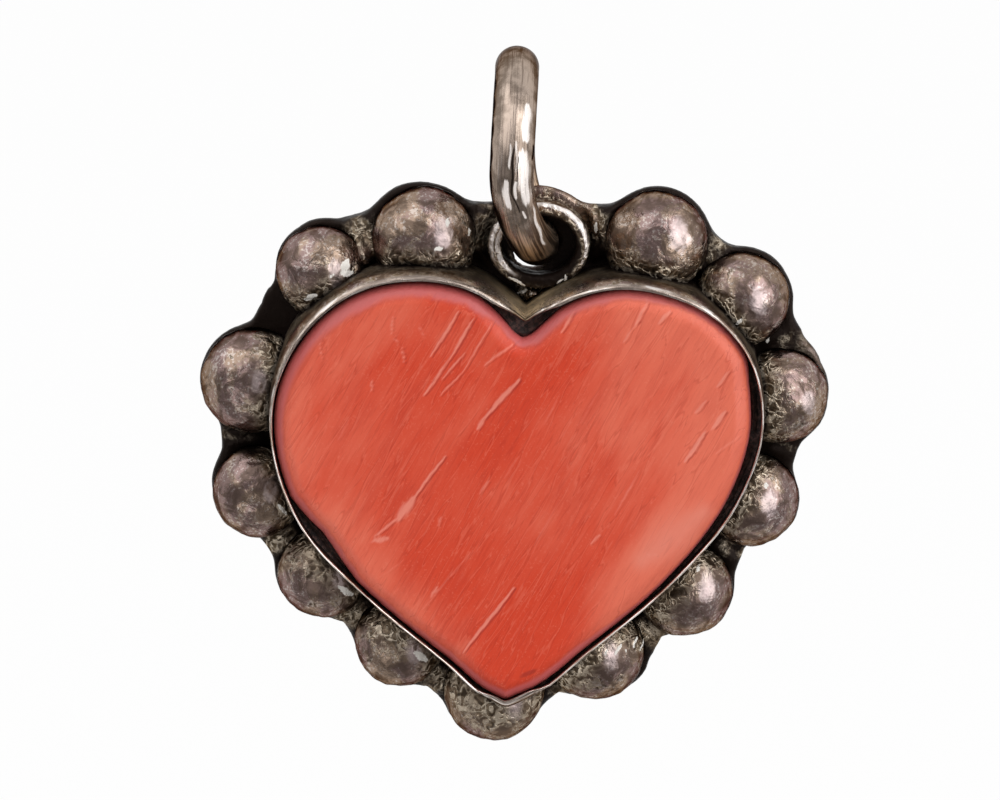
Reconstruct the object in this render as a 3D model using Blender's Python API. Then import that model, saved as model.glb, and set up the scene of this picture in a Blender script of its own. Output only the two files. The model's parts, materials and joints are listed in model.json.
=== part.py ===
# Heart pendant: a hand-made silver setting with a heart-shaped shell stone,
# thirteen silver raindrops round it and a bent-wire bail in a soldered eyelet.
# Metres, +Z up, front towards -Y, hanging as it does on a chain. The origin is
# the inside top of the bail, where the chain carries it.

import math

import bmesh
import bpy
from mathutils import Vector

MM = 0.001

# Gaps between pieces that touch, and the bail's running room in the drilled hole
SOLDER_GAP = 0.03 * MM
HOLE_ROOM = 0.35 * MM
HOLE_SQUASH = 0.25 * MM

# Heart setting: the bezel's outer outline, its strip and its burnished lip
HEART_WIDTH = 24.8 * MM
HEART_HEIGHT = 22.4 * MM
BEZEL_HEIGHT = 4.5 * MM
BEZEL_WALL = 0.26 * MM
LIP_HEIGHT = 0.7 * MM
LIP_LEAN = 0.24 * MM
LIP_CURVE = 0.35
LIP_ROUND = 0.25

# The heart's outer outline as shares of half its width and half its height, from
# the notch down the left side to the tip and back up. It is bent by hand, so its
# sides differ and its tip points a little to the left.
HEART_POINTS = (
    (0.044, 0.787), (-0.151, 0.945), (-0.386, 0.999), (-0.657, 0.936), (-0.878, 0.730),
    (-0.980, 0.466), (-0.974, 0.142), (-0.865, -0.172), (-0.603, -0.491), (-0.275, -0.800),
    (-0.102, -0.968), (-0.040, -1.001), (0.031, -0.975), (0.302, -0.746), (0.674, -0.388),
    (0.901, -0.069), (1.007, 0.285), (0.972, 0.569), (0.799, 0.827), (0.461, 0.962),
    (0.204, 0.903),
)
POINTS_PER_SPAN = 5

# Stone and the packing that beds it
STONE_THICKNESS = 3.3 * MM
STONE_GAP = 0.40 * MM
STONE_SHIFT = -0.22 * MM
STONE_EDGE_WIDTH = 0.80 * MM
STONE_EDGE_DROP = 0.62 * MM
STONE_EDGE_STEPS = 4
STONE_BACK_INSET = 0.20 * MM

# Backplate: one sheet, filed in scallops round the raindrops
PLATE_THICKNESS = 0.7 * MM
PLATE_MARGIN = 0.14 * MM
PLATE_EDGE = 0.12 * MM
PLATE_FILLET = 0.30 * MM
WEB_SHARE = 0.64
PLATE_POINTS = 240
RAY_STEPS = 40

# Raindrops, from the left of the eyelet round to its right: place along the heart's
# outline as a share of its length, radius, how far the centre stands off the wall,
# and how far the backplate was left showing past it
RAINDROPS = (
    (0.0778, 2.50 * MM, 0.96 * MM, 0.14 * MM),
    (0.1439, 2.15 * MM, 0.84 * MM, 0.14 * MM),
    (0.2250, 2.52 * MM, 0.92 * MM, 0.14 * MM),
    (0.2935, 2.20 * MM, 1.45 * MM, 0.14 * MM),
    (0.3566, 2.18 * MM, 1.13 * MM, 0.20 * MM),
    (0.4257, 2.15 * MM, 1.22 * MM, 0.14 * MM),
    (0.4960, 2.42 * MM, 0.10 * MM, 0.14 * MM),
    (0.5698, 2.36 * MM, 0.70 * MM, 0.14 * MM),
    (0.6424, 2.30 * MM, 1.14 * MM, 0.10 * MM),
    (0.7155, 2.28 * MM, 0.80 * MM, 0.10 * MM),
    (0.7840, 2.26 * MM, 0.84 * MM, 0.42 * MM),
    (0.8489, 2.24 * MM, 0.92 * MM, 0.10 * MM),
    (0.9102, 2.48 * MM, 1.36 * MM, 0.14 * MM),
)
RAINDROP_RISE = 0.65 * MM
RAINDROP_ROUNDNESS = 0.92

# Eyelet: a short oval of wire on end, soldered to the plate over the notch, its middle
# a little above the tops of the heart's lobes
EYELET_WIDTH = 5.1 * MM
EYELET_OPENING_HEIGHT = 3.05 * MM
EYELET_WIRE = 0.70 * MM
EYELET_DEPTH = 1.6 * MM
EYELET_ROUND = 0.24 * MM
EYELET_ACROSS = 1.2 * MM
EYELET_ABOVE = 0.75 * MM

# Bail: a ring of round wire, bent sideways below its middle
BAIL_DIAMETER = 11.0 * MM
BAIL_WIRE = 2.2 * MM
BAIL_LEAN = math.radians(3.0)
BAIL_SWAY = 1.46 * MM
BAIL_STEPS = 56
BAIL_ROOM = 0.30 * MM

# How the heart hangs: sideways place of its middle, and the lean that brings its
# weight under the bail
HEART_ACROSS = -0.10 * MM
HANG_PITCH = math.radians(2.9)

# Round pieces: faces round them, and the angle that shades smooth
DROP_SEGMENTS = 22
DROP_RINGS = 12
OVAL_POINTS = 40
CORNER_STEPS = 2
SMOOTH_ANGLE = math.radians(38)

# Values that follow from the sizes above
BAIL_INSIDE = BAIL_DIAMETER / 2 - BAIL_WIRE
BAIL_RADIUS = (BAIL_DIAMETER - BAIL_WIRE) / 2
BED_TOP = BEZEL_HEIGHT - STONE_THICKNESS - SOLDER_GAP
SILVER = ((0.52, 0.48, 0.45, 1.0), 0.36, 1.0)
DARK_SILVER = ((0.20, 0.18, 0.16, 1.0), 0.45, 1.0)
SHELL = ((0.72, 0.13, 0.08, 1.0), 0.38, 0.0)
PACKING = ((0.05, 0.035, 0.03, 1.0), 0.85, 0.0)


# Outlines, as lists of (x, z) in the heart's own plane

def spline_tangent(points, i):
    before = points[i] - points[i - 1]
    after = points[(i + 1) % len(points)] - points[i]
    weight = before.length + after.length
    return (before / before.length * after.length + after / after.length * before.length) / weight


def heart_outline():
    """Smooth closed curve through the heart's points, with a corner at the notch."""
    half = Vector((HEART_WIDTH / 2, HEART_HEIGHT / 2))
    points = [Vector((x * half.x, z * half.y)) for x, z in HEART_POINTS]
    tangents = [spline_tangent(points, i) for i in range(len(points))]
    outline = []
    for i, start in enumerate(points):
        end = points[(i + 1) % len(points)]
        span = (end - start).length
        leave = tangents[i]
        arrive = tangents[(i + 1) % len(points)]
        if i == 0:
            leave = (end - start) / span * 1.5 - arrive * 0.5
        if i == len(points) - 1:
            arrive = (end - start) / span * 1.5 - leave * 0.5
        for step in range(POINTS_PER_SPAN):
            t = step / POINTS_PER_SPAN
            point = start * (2 * t**3 - 3 * t**2 + 1) + end * (3 * t**2 - 2 * t**3)
            point += leave * span * (t**3 - 2 * t**2 + t) + arrive * span * (t**3 - t**2)
            outline.append(point)
    return outline


def oval_outline(width, height, centre):
    angles = [math.tau * i / OVAL_POINTS for i in range(OVAL_POINTS)]
    return [centre + Vector((-math.sin(a) * width / 2, math.cos(a) * height / 2)) for a in angles]


def outward(outline, i):
    """Direction out of the outline at a corner, stretched so that walls keep their gauge."""
    before = (outline[i] - outline[i - 1]).normalized()
    after = (outline[(i + 1) % len(outline)] - outline[i]).normalized()
    normal = Vector((before.y + after.y, -before.x - after.x)).normalized()
    stretch = max(0.5, normal.dot(Vector((after.y, -after.x))))
    return normal / stretch


def offset(outline, distance):
    return [p + outward(outline, i) * distance for i, p in enumerate(outline)]


def shifted(outline, across):
    return [Vector((p.x + across, p.y)) for p in outline]


def along(outline, share, stand_off):
    """Point at a share of the outline's length, standing off it."""
    lengths = [(outline[(i + 1) % len(outline)] - p).length for i, p in enumerate(outline)]
    rest = share * sum(lengths)
    i = 0
    while rest > lengths[i]:
        rest -= lengths[i]
        i += 1
    step = (outline[(i + 1) % len(outline)] - outline[i]).normalized()
    return outline[i] + step * rest + Vector((step.y, -step.x)) * stand_off


def raindrop_places(heart):
    places = []
    for share, radius, stand_off, margin in RAINDROPS:
        places.append((along(heart, share, stand_off), radius, margin))
    return places


def eyelet_centre():
    return Vector((EYELET_ACROSS, HEART_HEIGHT / 2 + EYELET_ABOVE))


def plate_discs(heart):
    """Discs that the backplate is filed round: drops, the tab, and the webs between."""
    ring = [(centre, radius + margin) for centre, radius, margin in raindrop_places(heart)]
    ring.append((eyelet_centre(), EYELET_WIDTH / 2 + PLATE_MARGIN))
    webs = []
    for i, (centre, radius) in enumerate(ring):
        before, radius_before = ring[i - 1]
        webs.append(((centre + before) / 2, (radius + radius_before) / 2 * WEB_SHARE))
    return ring + webs


def plate_reach(discs, ray):
    """Distance along a ray to the discs, blended with filed fillets."""
    reach = HEART_WIDTH
    for _ in range(RAY_STEPS):
        gaps = [(ray * reach - centre).length - radius for centre, radius in discs]
        nearest = min(gaps)
        blend = sum(math.exp((nearest - gap) / PLATE_FILLET) for gap in gaps)
        reach -= nearest - PLATE_FILLET * math.log(blend)
    return reach


def plate_outline(heart):
    """The discs joined to the heart, read off along rays from its middle."""
    discs = plate_discs(heart)
    floor = offset(heart, PLATE_MARGIN)
    outline = []
    for i in range(PLATE_POINTS):
        angle = math.tau * i / PLATE_POINTS + math.pi / 2
        ray = Vector((math.cos(angle), math.sin(angle)))
        nearest = max(floor, key=lambda p: p.normalized().dot(ray))
        outline.append(ray * max(plate_reach(discs, ray), nearest.length))
    return outline


# Bodies

def add_material(name, look):
    colour, roughness, metallic = look
    material = bpy.data.materials.new(name)
    material.use_nodes = True
    shader = material.node_tree.nodes["Principled BSDF"]
    shader.inputs["Base Color"].default_value = colour
    shader.inputs["Roughness"].default_value = roughness
    shader.inputs["Metallic"].default_value = metallic
    material.diffuse_color = colour
    return material


def add_object(name, mesh, look, parent, place=(0, 0, 0)):
    body = bpy.data.objects.new(name, mesh)
    bpy.context.collection.objects.link(body)
    body.parent = parent
    body.location = place
    mesh.materials.append(add_material(name, look))
    mesh.shade_smooth()
    mesh.set_sharp_from_angle(angle=SMOOTH_ANGLE)
    return body


def loft(name, outline, profile, closed):
    """Sweep a profile of (offset from the outline, depth) round the outline."""
    mesh = bpy.data.meshes.new(name)
    bm = bmesh.new()
    loops = []
    for distance, depth in profile:
        loops.append([bm.verts.new((p.x, depth, p.y)) for p in offset(outline, distance)])
    pairs = list(zip(loops, loops[1:]))
    if closed:
        pairs.append((loops[-1], loops[0]))
    else:
        bm.faces.new(loops[0])
        bm.faces.new(loops[-1])
    for one, other in pairs:
        for i in range(len(one)):
            j = (i + 1) % len(one)
            bm.faces.new((one[i], one[j], other[j], other[i]))
    bmesh.ops.recalc_face_normals(bm, faces=bm.faces)
    bm.to_mesh(mesh)
    bm.free()
    return mesh


def add_cut(body, cutter):
    cut = body.modifiers.new("cut", "BOOLEAN")
    cut.operation = "DIFFERENCE"
    cut.solver = "EXACT"
    cut.object = cutter


def add_cutter(name, mesh, parent):
    cutter = add_object(name, mesh, SILVER, parent)
    cutter.hide_render = True
    cutter.display_type = "WIRE"
    return cutter


def make_backplate(parent, heart):
    front, back = 0.0, PLATE_THICKNESS
    profile = (
        (-PLATE_EDGE, front), (0.0, front + PLATE_EDGE),
        (0.0, back - PLATE_EDGE), (-PLATE_EDGE, back),
    )
    plate = add_object("backplate", loft("backplate", plate_outline(heart), profile, False),
                       DARK_SILVER, parent)
    hole_width = BAIL_WIRE + 2 * HOLE_ROOM
    hole_height = hole_width - HOLE_SQUASH
    middle = Vector((hole_across(), eyelet_inside_top() - hole_height / 2))
    hole = oval_outline(hole_width, hole_height, middle)
    depths = ((0.0, -PLATE_THICKNESS), (0.0, 2 * PLATE_THICKNESS))
    add_cut(plate, add_cutter("bail_hole_cutter", loft("bail_hole_cutter", hole, depths, False), parent))


def make_bezel(parent, heart):
    foot = -SOLDER_GAP
    rim = -BEZEL_HEIGHT
    lip = rim + LIP_HEIGHT
    outer = [(0.0, foot), (0.0, lip), (-LIP_CURVE * LIP_LEAN, (lip + rim) / 2),
             (-LIP_LEAN, rim + LIP_ROUND * BEZEL_WALL)]
    inner = [(distance - BEZEL_WALL, depth) for distance, depth in reversed(outer)]
    profile = outer + [(-LIP_LEAN - BEZEL_WALL / 2, rim)] + inner
    add_object("bezel", loft("bezel", heart, profile, True), SILVER, parent)


def make_stone(parent, heart):
    outline = shifted(offset(heart, -BEZEL_WALL - STONE_GAP), STONE_SHIFT)
    top = -BEZEL_HEIGHT
    profile = [(-STONE_BACK_INSET, top + STONE_THICKNESS)]
    for step in range(STONE_EDGE_STEPS + 1):
        angle = math.pi / 2 * step / STONE_EDGE_STEPS
        inset = STONE_EDGE_WIDTH * (1 - math.cos(angle))
        profile.append((-inset, top + STONE_EDGE_DROP * (1 - math.sin(angle))))
    add_object("stone", loft("stone", outline, profile, False), SHELL, parent)


def make_bed(parent, heart):
    profile = (
        (-BEZEL_WALL - SOLDER_GAP, -SOLDER_GAP),
        (-BEZEL_WALL - SOLDER_GAP, -BED_TOP),
    )
    add_object("setting_bed", loft("setting_bed", heart, profile, False), PACKING, parent)


def make_raindrop(name, centre, radius, wall_cutter, parent):
    """A silver ball flattened where it was melted on to the plate, filed to the bezel."""
    mesh = bpy.data.meshes.new(name)
    bm = bmesh.new()
    bmesh.ops.create_uvsphere(bm, u_segments=DROP_SEGMENTS, v_segments=DROP_RINGS, radius=radius)
    for vert in bm.verts:
        vert.co = Vector((vert.co.x, -vert.co.z * RAINDROP_ROUNDNESS, vert.co.y))
    seat = RAINDROP_RISE - SOLDER_GAP
    cut = bmesh.ops.bisect_plane(bm, geom=bm.verts[:] + bm.edges[:] + bm.faces[:],
                                 plane_co=(0, seat, 0), plane_no=(0, 1, 0), clear_outer=True)
    rim = [e for e in cut["geom_cut"] if isinstance(e, bmesh.types.BMEdge)]
    bmesh.ops.holes_fill(bm, edges=rim, sides=0)
    bmesh.ops.recalc_face_normals(bm, faces=bm.faces)
    bm.to_mesh(mesh)
    bm.free()
    drop = add_object(name, mesh, SILVER, parent, (centre.x, -RAINDROP_RISE, centre.y))
    add_cut(drop, wall_cutter)


def eyelet_inside_top():
    return eyelet_centre().y + EYELET_OPENING_HEIGHT / 2


def hole_across():
    """The drilled hole follows the bail's wire, which sways to the left above its foot."""
    return bail_sideways(-BAIL_RADIUS) - HEART_ACROSS - HOLE_ROOM / 2


def rounded_strip(width, foot, top, radius):
    """Cross-section of a strip with rounded edges, as (offset, depth) pairs."""
    near, far = top + radius, foot - radius
    corners = ((radius, near), (width - radius, near), (width - radius, far), (radius, far))
    profile = []
    for number, (distance, depth) in enumerate(corners):
        for step in range(CORNER_STEPS + 1):
            angle = math.pi + math.pi / 2 * (number + step / CORNER_STEPS)
            profile.append((distance + radius * math.cos(angle), depth + radius * math.sin(angle)))
    return profile


def make_eyelet(parent, wall_cutter):
    outline = oval_outline(EYELET_WIDTH - 2 * EYELET_WIRE, EYELET_OPENING_HEIGHT, eyelet_centre())
    profile = rounded_strip(EYELET_WIRE, -SOLDER_GAP, -EYELET_DEPTH, EYELET_ROUND)
    eyelet = add_object("eyelet", loft("eyelet", outline, profile, True), SILVER, parent)
    add_cut(eyelet, wall_cutter)


def bail_sideways(height):
    """Sideways place of the wire at a height above the ring's middle, from its top."""
    lean = -math.tan(BAIL_LEAN) * (BAIL_RADIUS - height)
    sway = BAIL_SWAY * (min(height, 0.0) / BAIL_RADIUS) ** 2
    return lean + sway


def make_bail():
    curve = bpy.data.curves.new("bail", "CURVE")
    curve.dimensions = "3D"
    curve.bevel_depth = BAIL_WIRE / 2
    curve.bevel_resolution = 6
    curve.use_fill_caps = True
    spline = curve.splines.new("POLY")
    spline.points.add(BAIL_STEPS - 1)
    spline.use_cyclic_u = True
    for i, point in enumerate(spline.points):
        angle = math.tau * i / BAIL_STEPS
        height = BAIL_RADIUS * math.cos(angle)
        point.co = (bail_sideways(height), BAIL_RADIUS * math.sin(angle), height, 1.0)
    spline.use_smooth = True
    bail = bpy.data.objects.new("bail", curve)
    bpy.context.collection.objects.link(bail)
    bail.location = (0, 0, -BAIL_INSIDE)
    curve.materials.append(add_material("bail", SILVER))


def hang_pendant():
    """Empty on the swing axis, through the bail's middle, and one in the heart's middle."""
    hinge = bpy.data.objects.new("swing_axis", None)
    bpy.context.collection.objects.link(hinge)
    hinge.location = (0, 0, -BAIL_INSIDE)
    hinge.rotation_euler = (HANG_PITCH, 0, 0)
    middle = bpy.data.objects.new("heart_middle", None)
    bpy.context.collection.objects.link(middle)
    middle.parent = hinge
    front = (EYELET_DEPTH - PLATE_THICKNESS) / 2
    reach = (EYELET_DEPTH + PLATE_THICKNESS) / 2 - EYELET_ROUND
    seat = math.sqrt((BAIL_INSIDE - BAIL_ROOM - EYELET_ROUND) ** 2 - reach**2) + EYELET_ROUND
    middle.location = (HEART_ACROSS, front, -seat - eyelet_inside_top())
    return middle


def main():
    for old in list(bpy.data.objects):
        bpy.data.objects.remove(old, do_unlink=True)
    heart = heart_outline()
    make_bail()
    middle = hang_pendant()
    wall = ((SOLDER_GAP, PLATE_THICKNESS), (SOLDER_GAP, -2 * BEZEL_HEIGHT))
    wall_cutter = add_cutter("bezel_cutter", loft("bezel_cutter", heart, wall, False), middle)
    make_backplate(middle, heart)
    make_bezel(middle, heart)
    make_stone(middle, heart)
    make_bed(middle, heart)
    make_eyelet(middle, wall_cutter)
    for number, (centre, radius, _) in enumerate(raindrop_places(heart), start=1):
        make_raindrop(f"raindrop_{number:02d}", centre, radius, wall_cutter, middle)


main()
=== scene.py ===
import json
import math

import bpy
import numpy as np
from bpy.props import FloatProperty, FloatVectorProperty, PointerProperty
from mathutils import Matrix, Vector
from mathutils.bvhtree import BVHTree


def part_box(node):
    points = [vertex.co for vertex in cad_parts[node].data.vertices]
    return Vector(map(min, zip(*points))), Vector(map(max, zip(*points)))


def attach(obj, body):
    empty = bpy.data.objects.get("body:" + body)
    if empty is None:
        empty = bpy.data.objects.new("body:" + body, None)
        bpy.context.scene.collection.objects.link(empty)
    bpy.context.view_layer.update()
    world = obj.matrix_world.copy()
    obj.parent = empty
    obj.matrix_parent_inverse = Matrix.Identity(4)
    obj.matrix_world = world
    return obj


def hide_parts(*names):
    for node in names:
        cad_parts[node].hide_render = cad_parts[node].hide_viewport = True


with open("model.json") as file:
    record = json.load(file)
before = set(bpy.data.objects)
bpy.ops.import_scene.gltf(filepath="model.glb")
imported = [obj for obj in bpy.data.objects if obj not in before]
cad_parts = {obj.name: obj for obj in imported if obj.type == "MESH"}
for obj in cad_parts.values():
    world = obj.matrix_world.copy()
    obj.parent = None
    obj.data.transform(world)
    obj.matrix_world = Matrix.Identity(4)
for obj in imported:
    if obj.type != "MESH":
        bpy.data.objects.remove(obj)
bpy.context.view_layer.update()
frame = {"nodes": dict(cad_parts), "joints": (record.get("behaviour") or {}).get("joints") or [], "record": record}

bl_info = {
    "name": "Heart pendant finishes",
    "version": (1, 0, 0),
    "blender": (4, 5, 0),
    "location": "3D View > Sidebar > Pendant",
    "description": "Hand-worked silver, shell stone, studio and camera for a heart pendant",
    "category": "Object",
}

MM = 0.001

# The heart's own place: its middle on the plate's front face, from the back mount
PLATE_THICKNESS = 0.7 * MM
BACK = next(m for m in frame["record"]["mounts"] if m["name"] == "back_face")
PITCH = math.atan2(BACK["axis"][2], BACK["axis"][1])
HEART = (
    Matrix.Translation(BACK["pos_m"]) @ Matrix.Rotation(PITCH, 4, "X")
    @ Matrix.Translation((0, -PLATE_THICKNESS, 0))
)
RAINDROPS = sorted(name for name in frame["nodes"] if name.startswith("raindrop_"))

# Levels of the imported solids, in mm in front of the plate
STONE_FOOT = 1.2
STONE_WAIST = 3.88
STONE_TOP = 4.5
WALL_TOP = 3.8
EYELET_FRONT = 1.6

# Thickness of the strip, and width of the stone's rounded edge, in mm
WALL = 0.26
STONE_EDGE = 0.80

# Round the heart, in degrees from its right-hand side: the dark gap seen between rim and stone, in mm
RAYS = 720
GAPS = (
    (-90, 0.26), (-75, 0.11), (-60, 0.10), (-45, 0.11), (-30, 0.18), (-20, 0.23), (-10, 0.34), (10, 0.50),
    (20, 0.50), (25, 0.42), (30, 0.10), (45, 0.03), (62, 0.06), (76, 0.18), (83, 0.42), (87, 0.60),
    (92, 0.40), (100, 0.14), (120, 0.14), (150, 0.08), (182, 0.06), (188, 0.38), (193, 0.60), (198, 0.50),
    (204, 0.30), (211, 0.08), (240, 0.05), (258, 0.12), (270, 0.26),
)

# How far the plate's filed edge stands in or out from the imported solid, in the same directions, in mm
FILED = (
    (0, 0.0), (8, -0.08), (13, -0.28), (20, -0.18), (23, 0.10), (27, 0.40), (32, 0.32), (37, 0.10),
    (45, 0.10), (60, 0.06), (68, 0.0), (105, 0.0), (112, 0.15), (119, 0.30), (123, 0.45), (127, 0.22),
    (131, 0.0), (139, 0.0), (143, 0.36), (146, 0.0), (160, 0.0), (177, 0.20), (182, 0.08), (190, -0.10),
    (200, 0.05), (212, 0.12), (217, 0.20), (220, 0.0), (222, -0.15), (226, 0.0), (240, 0.05), (245, 0.20),
    (248, 0.0), (255, 0.18), (267, 0.14), (275, 0.15), (279, -0.10), (281, -0.25), (284, 0.10),
    (298, 0.22), (303, 0.40), (307, 0.30), (311, -0.05), (317, 0.22), (327, 0.18), (336, 0.10),
    (341, -0.18), (349, -0.16), (355, 0.0), (360, 0.0),
)

# Painted glint highlights: both ends across and up from the heart's middle, half width, strength; mm
GLINTS = (
    (-8.55, 10.90, -8.38, 11.25, 0.22, 1.00),
    (-8.62, 10.72, -8.15, 10.66, 0.16, 1.00),
    (-9.20, 10.55, -9.05, 10.70, 0.10, 0.80),
    (-10.45, 9.35, -9.95, 9.65, 0.14, 1.00),
    (-7.05, 9.85, -6.60, 10.10, 0.07, 0.90),
    (-3.35, 13.15, -3.35, 13.50, 0.10, 0.90),
    (-3.95, 12.10, -3.60, 12.10, 0.13, 0.80),
    (-4.05, 10.98, -3.62, 10.90, 0.09, 1.00),
    (-2.28, 12.55, -2.28, 12.85, 0.07, 0.80),
    (-8.80, -5.35, -8.20, -5.85, 0.16, 1.00),
    (-5.00, -8.70, -4.45, -9.20, 0.16, 1.00),
    (-11.85, -1.10, -11.45, -1.70, 0.09, 0.90),
    (12.62, 6.65, 12.70, 7.05, 0.08, 1.00),
    (11.10, 8.20, 11.35, 8.45, 0.10, 1.00),
    (4.03, 12.40, 4.03, 12.90, 0.10, 0.90),
    (4.50, -8.80, 4.65, -8.50, 0.06, 0.90),
    (5.05, -8.75, 5.35, -8.30, 0.07, 1.00),
    (5.60, -8.70, 5.50, -8.45, 0.04, 0.90),
    (5.95, -8.55, 6.15, -8.10, 0.07, 0.90),
    (6.30, -8.85, 6.50, -8.45, 0.06, 0.90),
    (9.15, -4.55, 9.25, -4.25, 0.10, 0.90),
    (12.60, -0.20, 12.60, 0.00, 0.10, 0.90),
    (-0.30, 10.36, 0.49, 9.92, 0.07, 1.00),
    (2.10, 10.02, 2.40, 10.26, 0.06, 0.80),
    (0.05, 9.20, 0.55, 9.50, 0.07, 1.00),
    (0.76, 9.55, 0.88, 9.30, 0.07, 0.80),
    (1.24, 9.50, 1.86, 9.62, 0.07, 0.80),
    (2.52, 10.50, 2.56, 9.95, 0.06, 0.90),
)

# Width of the mauve band at the stone's edge, in the first directions, in mm
MAUVE = (
    (-90, 0.50), (-60, 0.35), (-45, 0.20), (0, 0.14), (25, 0.14), (40, 0.26), (55, 0.45), (75, 0.55),
    (85, 0.35), (95, 0.35), (106, 0.65), (130, 0.75), (150, 0.55), (180, 0.42), (215, 0.34), (240, 0.36),
    (270, 0.50),
)

# How much paler the stone is near its edge, in the same directions: painted sheen of its rounded edge
EDGE_SHEEN = (
    (-90, 0.1), (-62, 0.2), (-48, 0.7), (-20, 0.9), (0, 0.8), (25, 0.6), (45, 0.3), (60, 0.0), (180, 0.2),
    (205, 0.5), (235, 0.5), (250, 0.1), (270, 0.1),
)

# Round the eyelet, in degrees from its right-hand side: how bright its outer and its inner edge are
# rubbed and painted as highlights, and how clean it is, low values also painting shade at its bottom and left
EYELET_OUTER = (
    (0, 0.8), (15, 1.4), (45, 1.5), (60, 1.0), (80, 0.7), (105, 0.6), (125, 0.3), (140, 0.6), (150, 1.4),
    (185, 1.4), (205, 0.6), (220, 0.1), (310, 0.0), (335, 0.6), (360, 0.8),
)
EYELET_INNER = ((0, 0.0), (140, 0.3), (150, 1.4), (205, 1.4), (225, 0.7), (245, 0.0), (360, 0.0))
EYELET_CLEAN_AND_LIT = (
    (0, 0.1), (25, 0.8), (100, 1.2), (125, 0.5), (150, 0.1), (290, 0.0), (320, 0.1), (360, 0.1),
)

# The bail's hole in the plate: its edge's distance from the wire's middle, in directions from the
# right-hand side, open only under the wire on the left, and how far out it is worked, in mm
HOLE_EDGE = (
    (-180, 1.15), (-168, 1.18), (-152, 1.30), (-135, 1.52), (-115, 1.54), (-95, 1.44), (-75, 1.28),
    (-50, 1.10), (-20, 0.98), (55, 0.96), (80, 1.20), (150, 1.20), (180, 1.15),
)
HOLE_REACH = 2.4

# How far the lip leans in over the stone at each level, and the room for it at the stone's edge, in mm
LIP = ((3.8, 0.0), (4.15, 0.08), (4.43, 0.24), (4.5, 0.28))
LIP_ROOM = 0.26

# The skin of the packing, from its foot over its top and down again: each row's share of the way from the
# strip to the stone's edge, and its level in mm. Rows above the middle level are uneven.
CEMENT_ROWS = ((0, 0.03), (0, 3.62), (0.35, 3.45), (0.75, 3.72), (0.97, 3.60), (0.97, 1.17))
CEMENT_MIDDLE = 2.0

# Spots across and up from the heart's middle, in mm: its tip, the lip and the corner at its notch, and the
# scallop that is rubbed clean
TIP = (0.0, -11.2)
NOTCH = (0.6, 7.8)
CORNER = (0.4, 8.75)
CLEAN_SCALLOP = (15.1, 6.2)

# How finely pieces are meshed again: cubes for the beads, plate and eyelet, cuts up the strip, and the
# stone's grid, across and along the fibres, with half its width in mm
BEAD_CUBE = 0.09 * MM
PLATE_CUBE = 0.13 * MM
EYELET_CUBE = 0.06 * MM
WALL_CUTS = 5
STONE_GRID = (500, 160)
STONE_REACH = 15

# Small heights, in mm: growth of the beads, solder in the plate's corners and fillets, scratches
BEAD_GROWTH = 0.16
SOLDER_RISE = 0.75
FILLET_RISE = 1.3
SCRATCH_DEPTH = 0.03

# Bail, as the frame has it
BAIL_MIDDLE = Vector(frame["joints"][0]["pos_m"])
BAIL_WIRE = 2.2 * MM
BAIL_RADIUS = 4.4 * MM
BAIL_LEAN = math.radians(3.0)
BAIL_SWAY = 1.46 * MM

# Painted highlights as bright streaks, and dark lines along the bail's outer face, which are grooves and also
# painted shade down its edges and over its low end: where each starts and ends round the ring (0 in front,
# 90 at the top), its place across the wire there (-1 left, 1 right), half width and strength
HIGHLIGHT_STREAKS = (
    (39, 14, 0.60, 0.55, 0.24, 1.0),
    (14, -22, 0.50, 0.60, 0.30, 1.0),
    (16, 0, -0.10, -0.08, 0.09, 1.0),
    (-3, -22, -0.26, -0.20, 0.17, 1.2),
    (18, -2, 0.20, 0.20, 0.08, 0.8),
    (-4, -16, 0.20, 0.16, 0.10, 1.1),
    (-20, -56, 0.86, 0.80, 0.08, 0.8),
    (-21, -28, 0.32, 0.50, 0.09, 1.0),
    (30, -16, -0.60, -0.55, 0.16, 0.35),
)
GROOVES_AND_SHADE = (
    (15, -14, 0.05, 0.02, 0.07, 0.9),
    (10, -9, 0.29, 0.27, 0.035, 0.9),
    (-10, -24, -0.04, 0.30, 0.045, 1.0),
    (80, -40, -0.96, -0.97, 0.10, 0.8),
    (16, 5, 0.93, 0.92, 0.07, 0.8),
    (-18, -60, -0.86, -0.80, 0.26, 0.75),
    (-40, -75, -0.75, -0.60, 0.40, 0.8),
    (-62, -120, 0.00, 0.00, 1.40, 1.0),
)

# Corners that are filled higher with solder and painted with less tarnish, partly painted light that lifts their
# shade: the middle across and up, and the size, in mm
FILLETS = ((-7.55, 10.85, 0.9), (1.1, 9.25, 0.8))

# Pale sheen low on the right of the stone, in the form of a scratch's row below
SHEEN = ((6.4, -3.5, 9.4, -1.1, 0.75, 1.0),)

# Direction of the shell's fibres, from level up to the right
GRAIN = math.radians(60)

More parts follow.
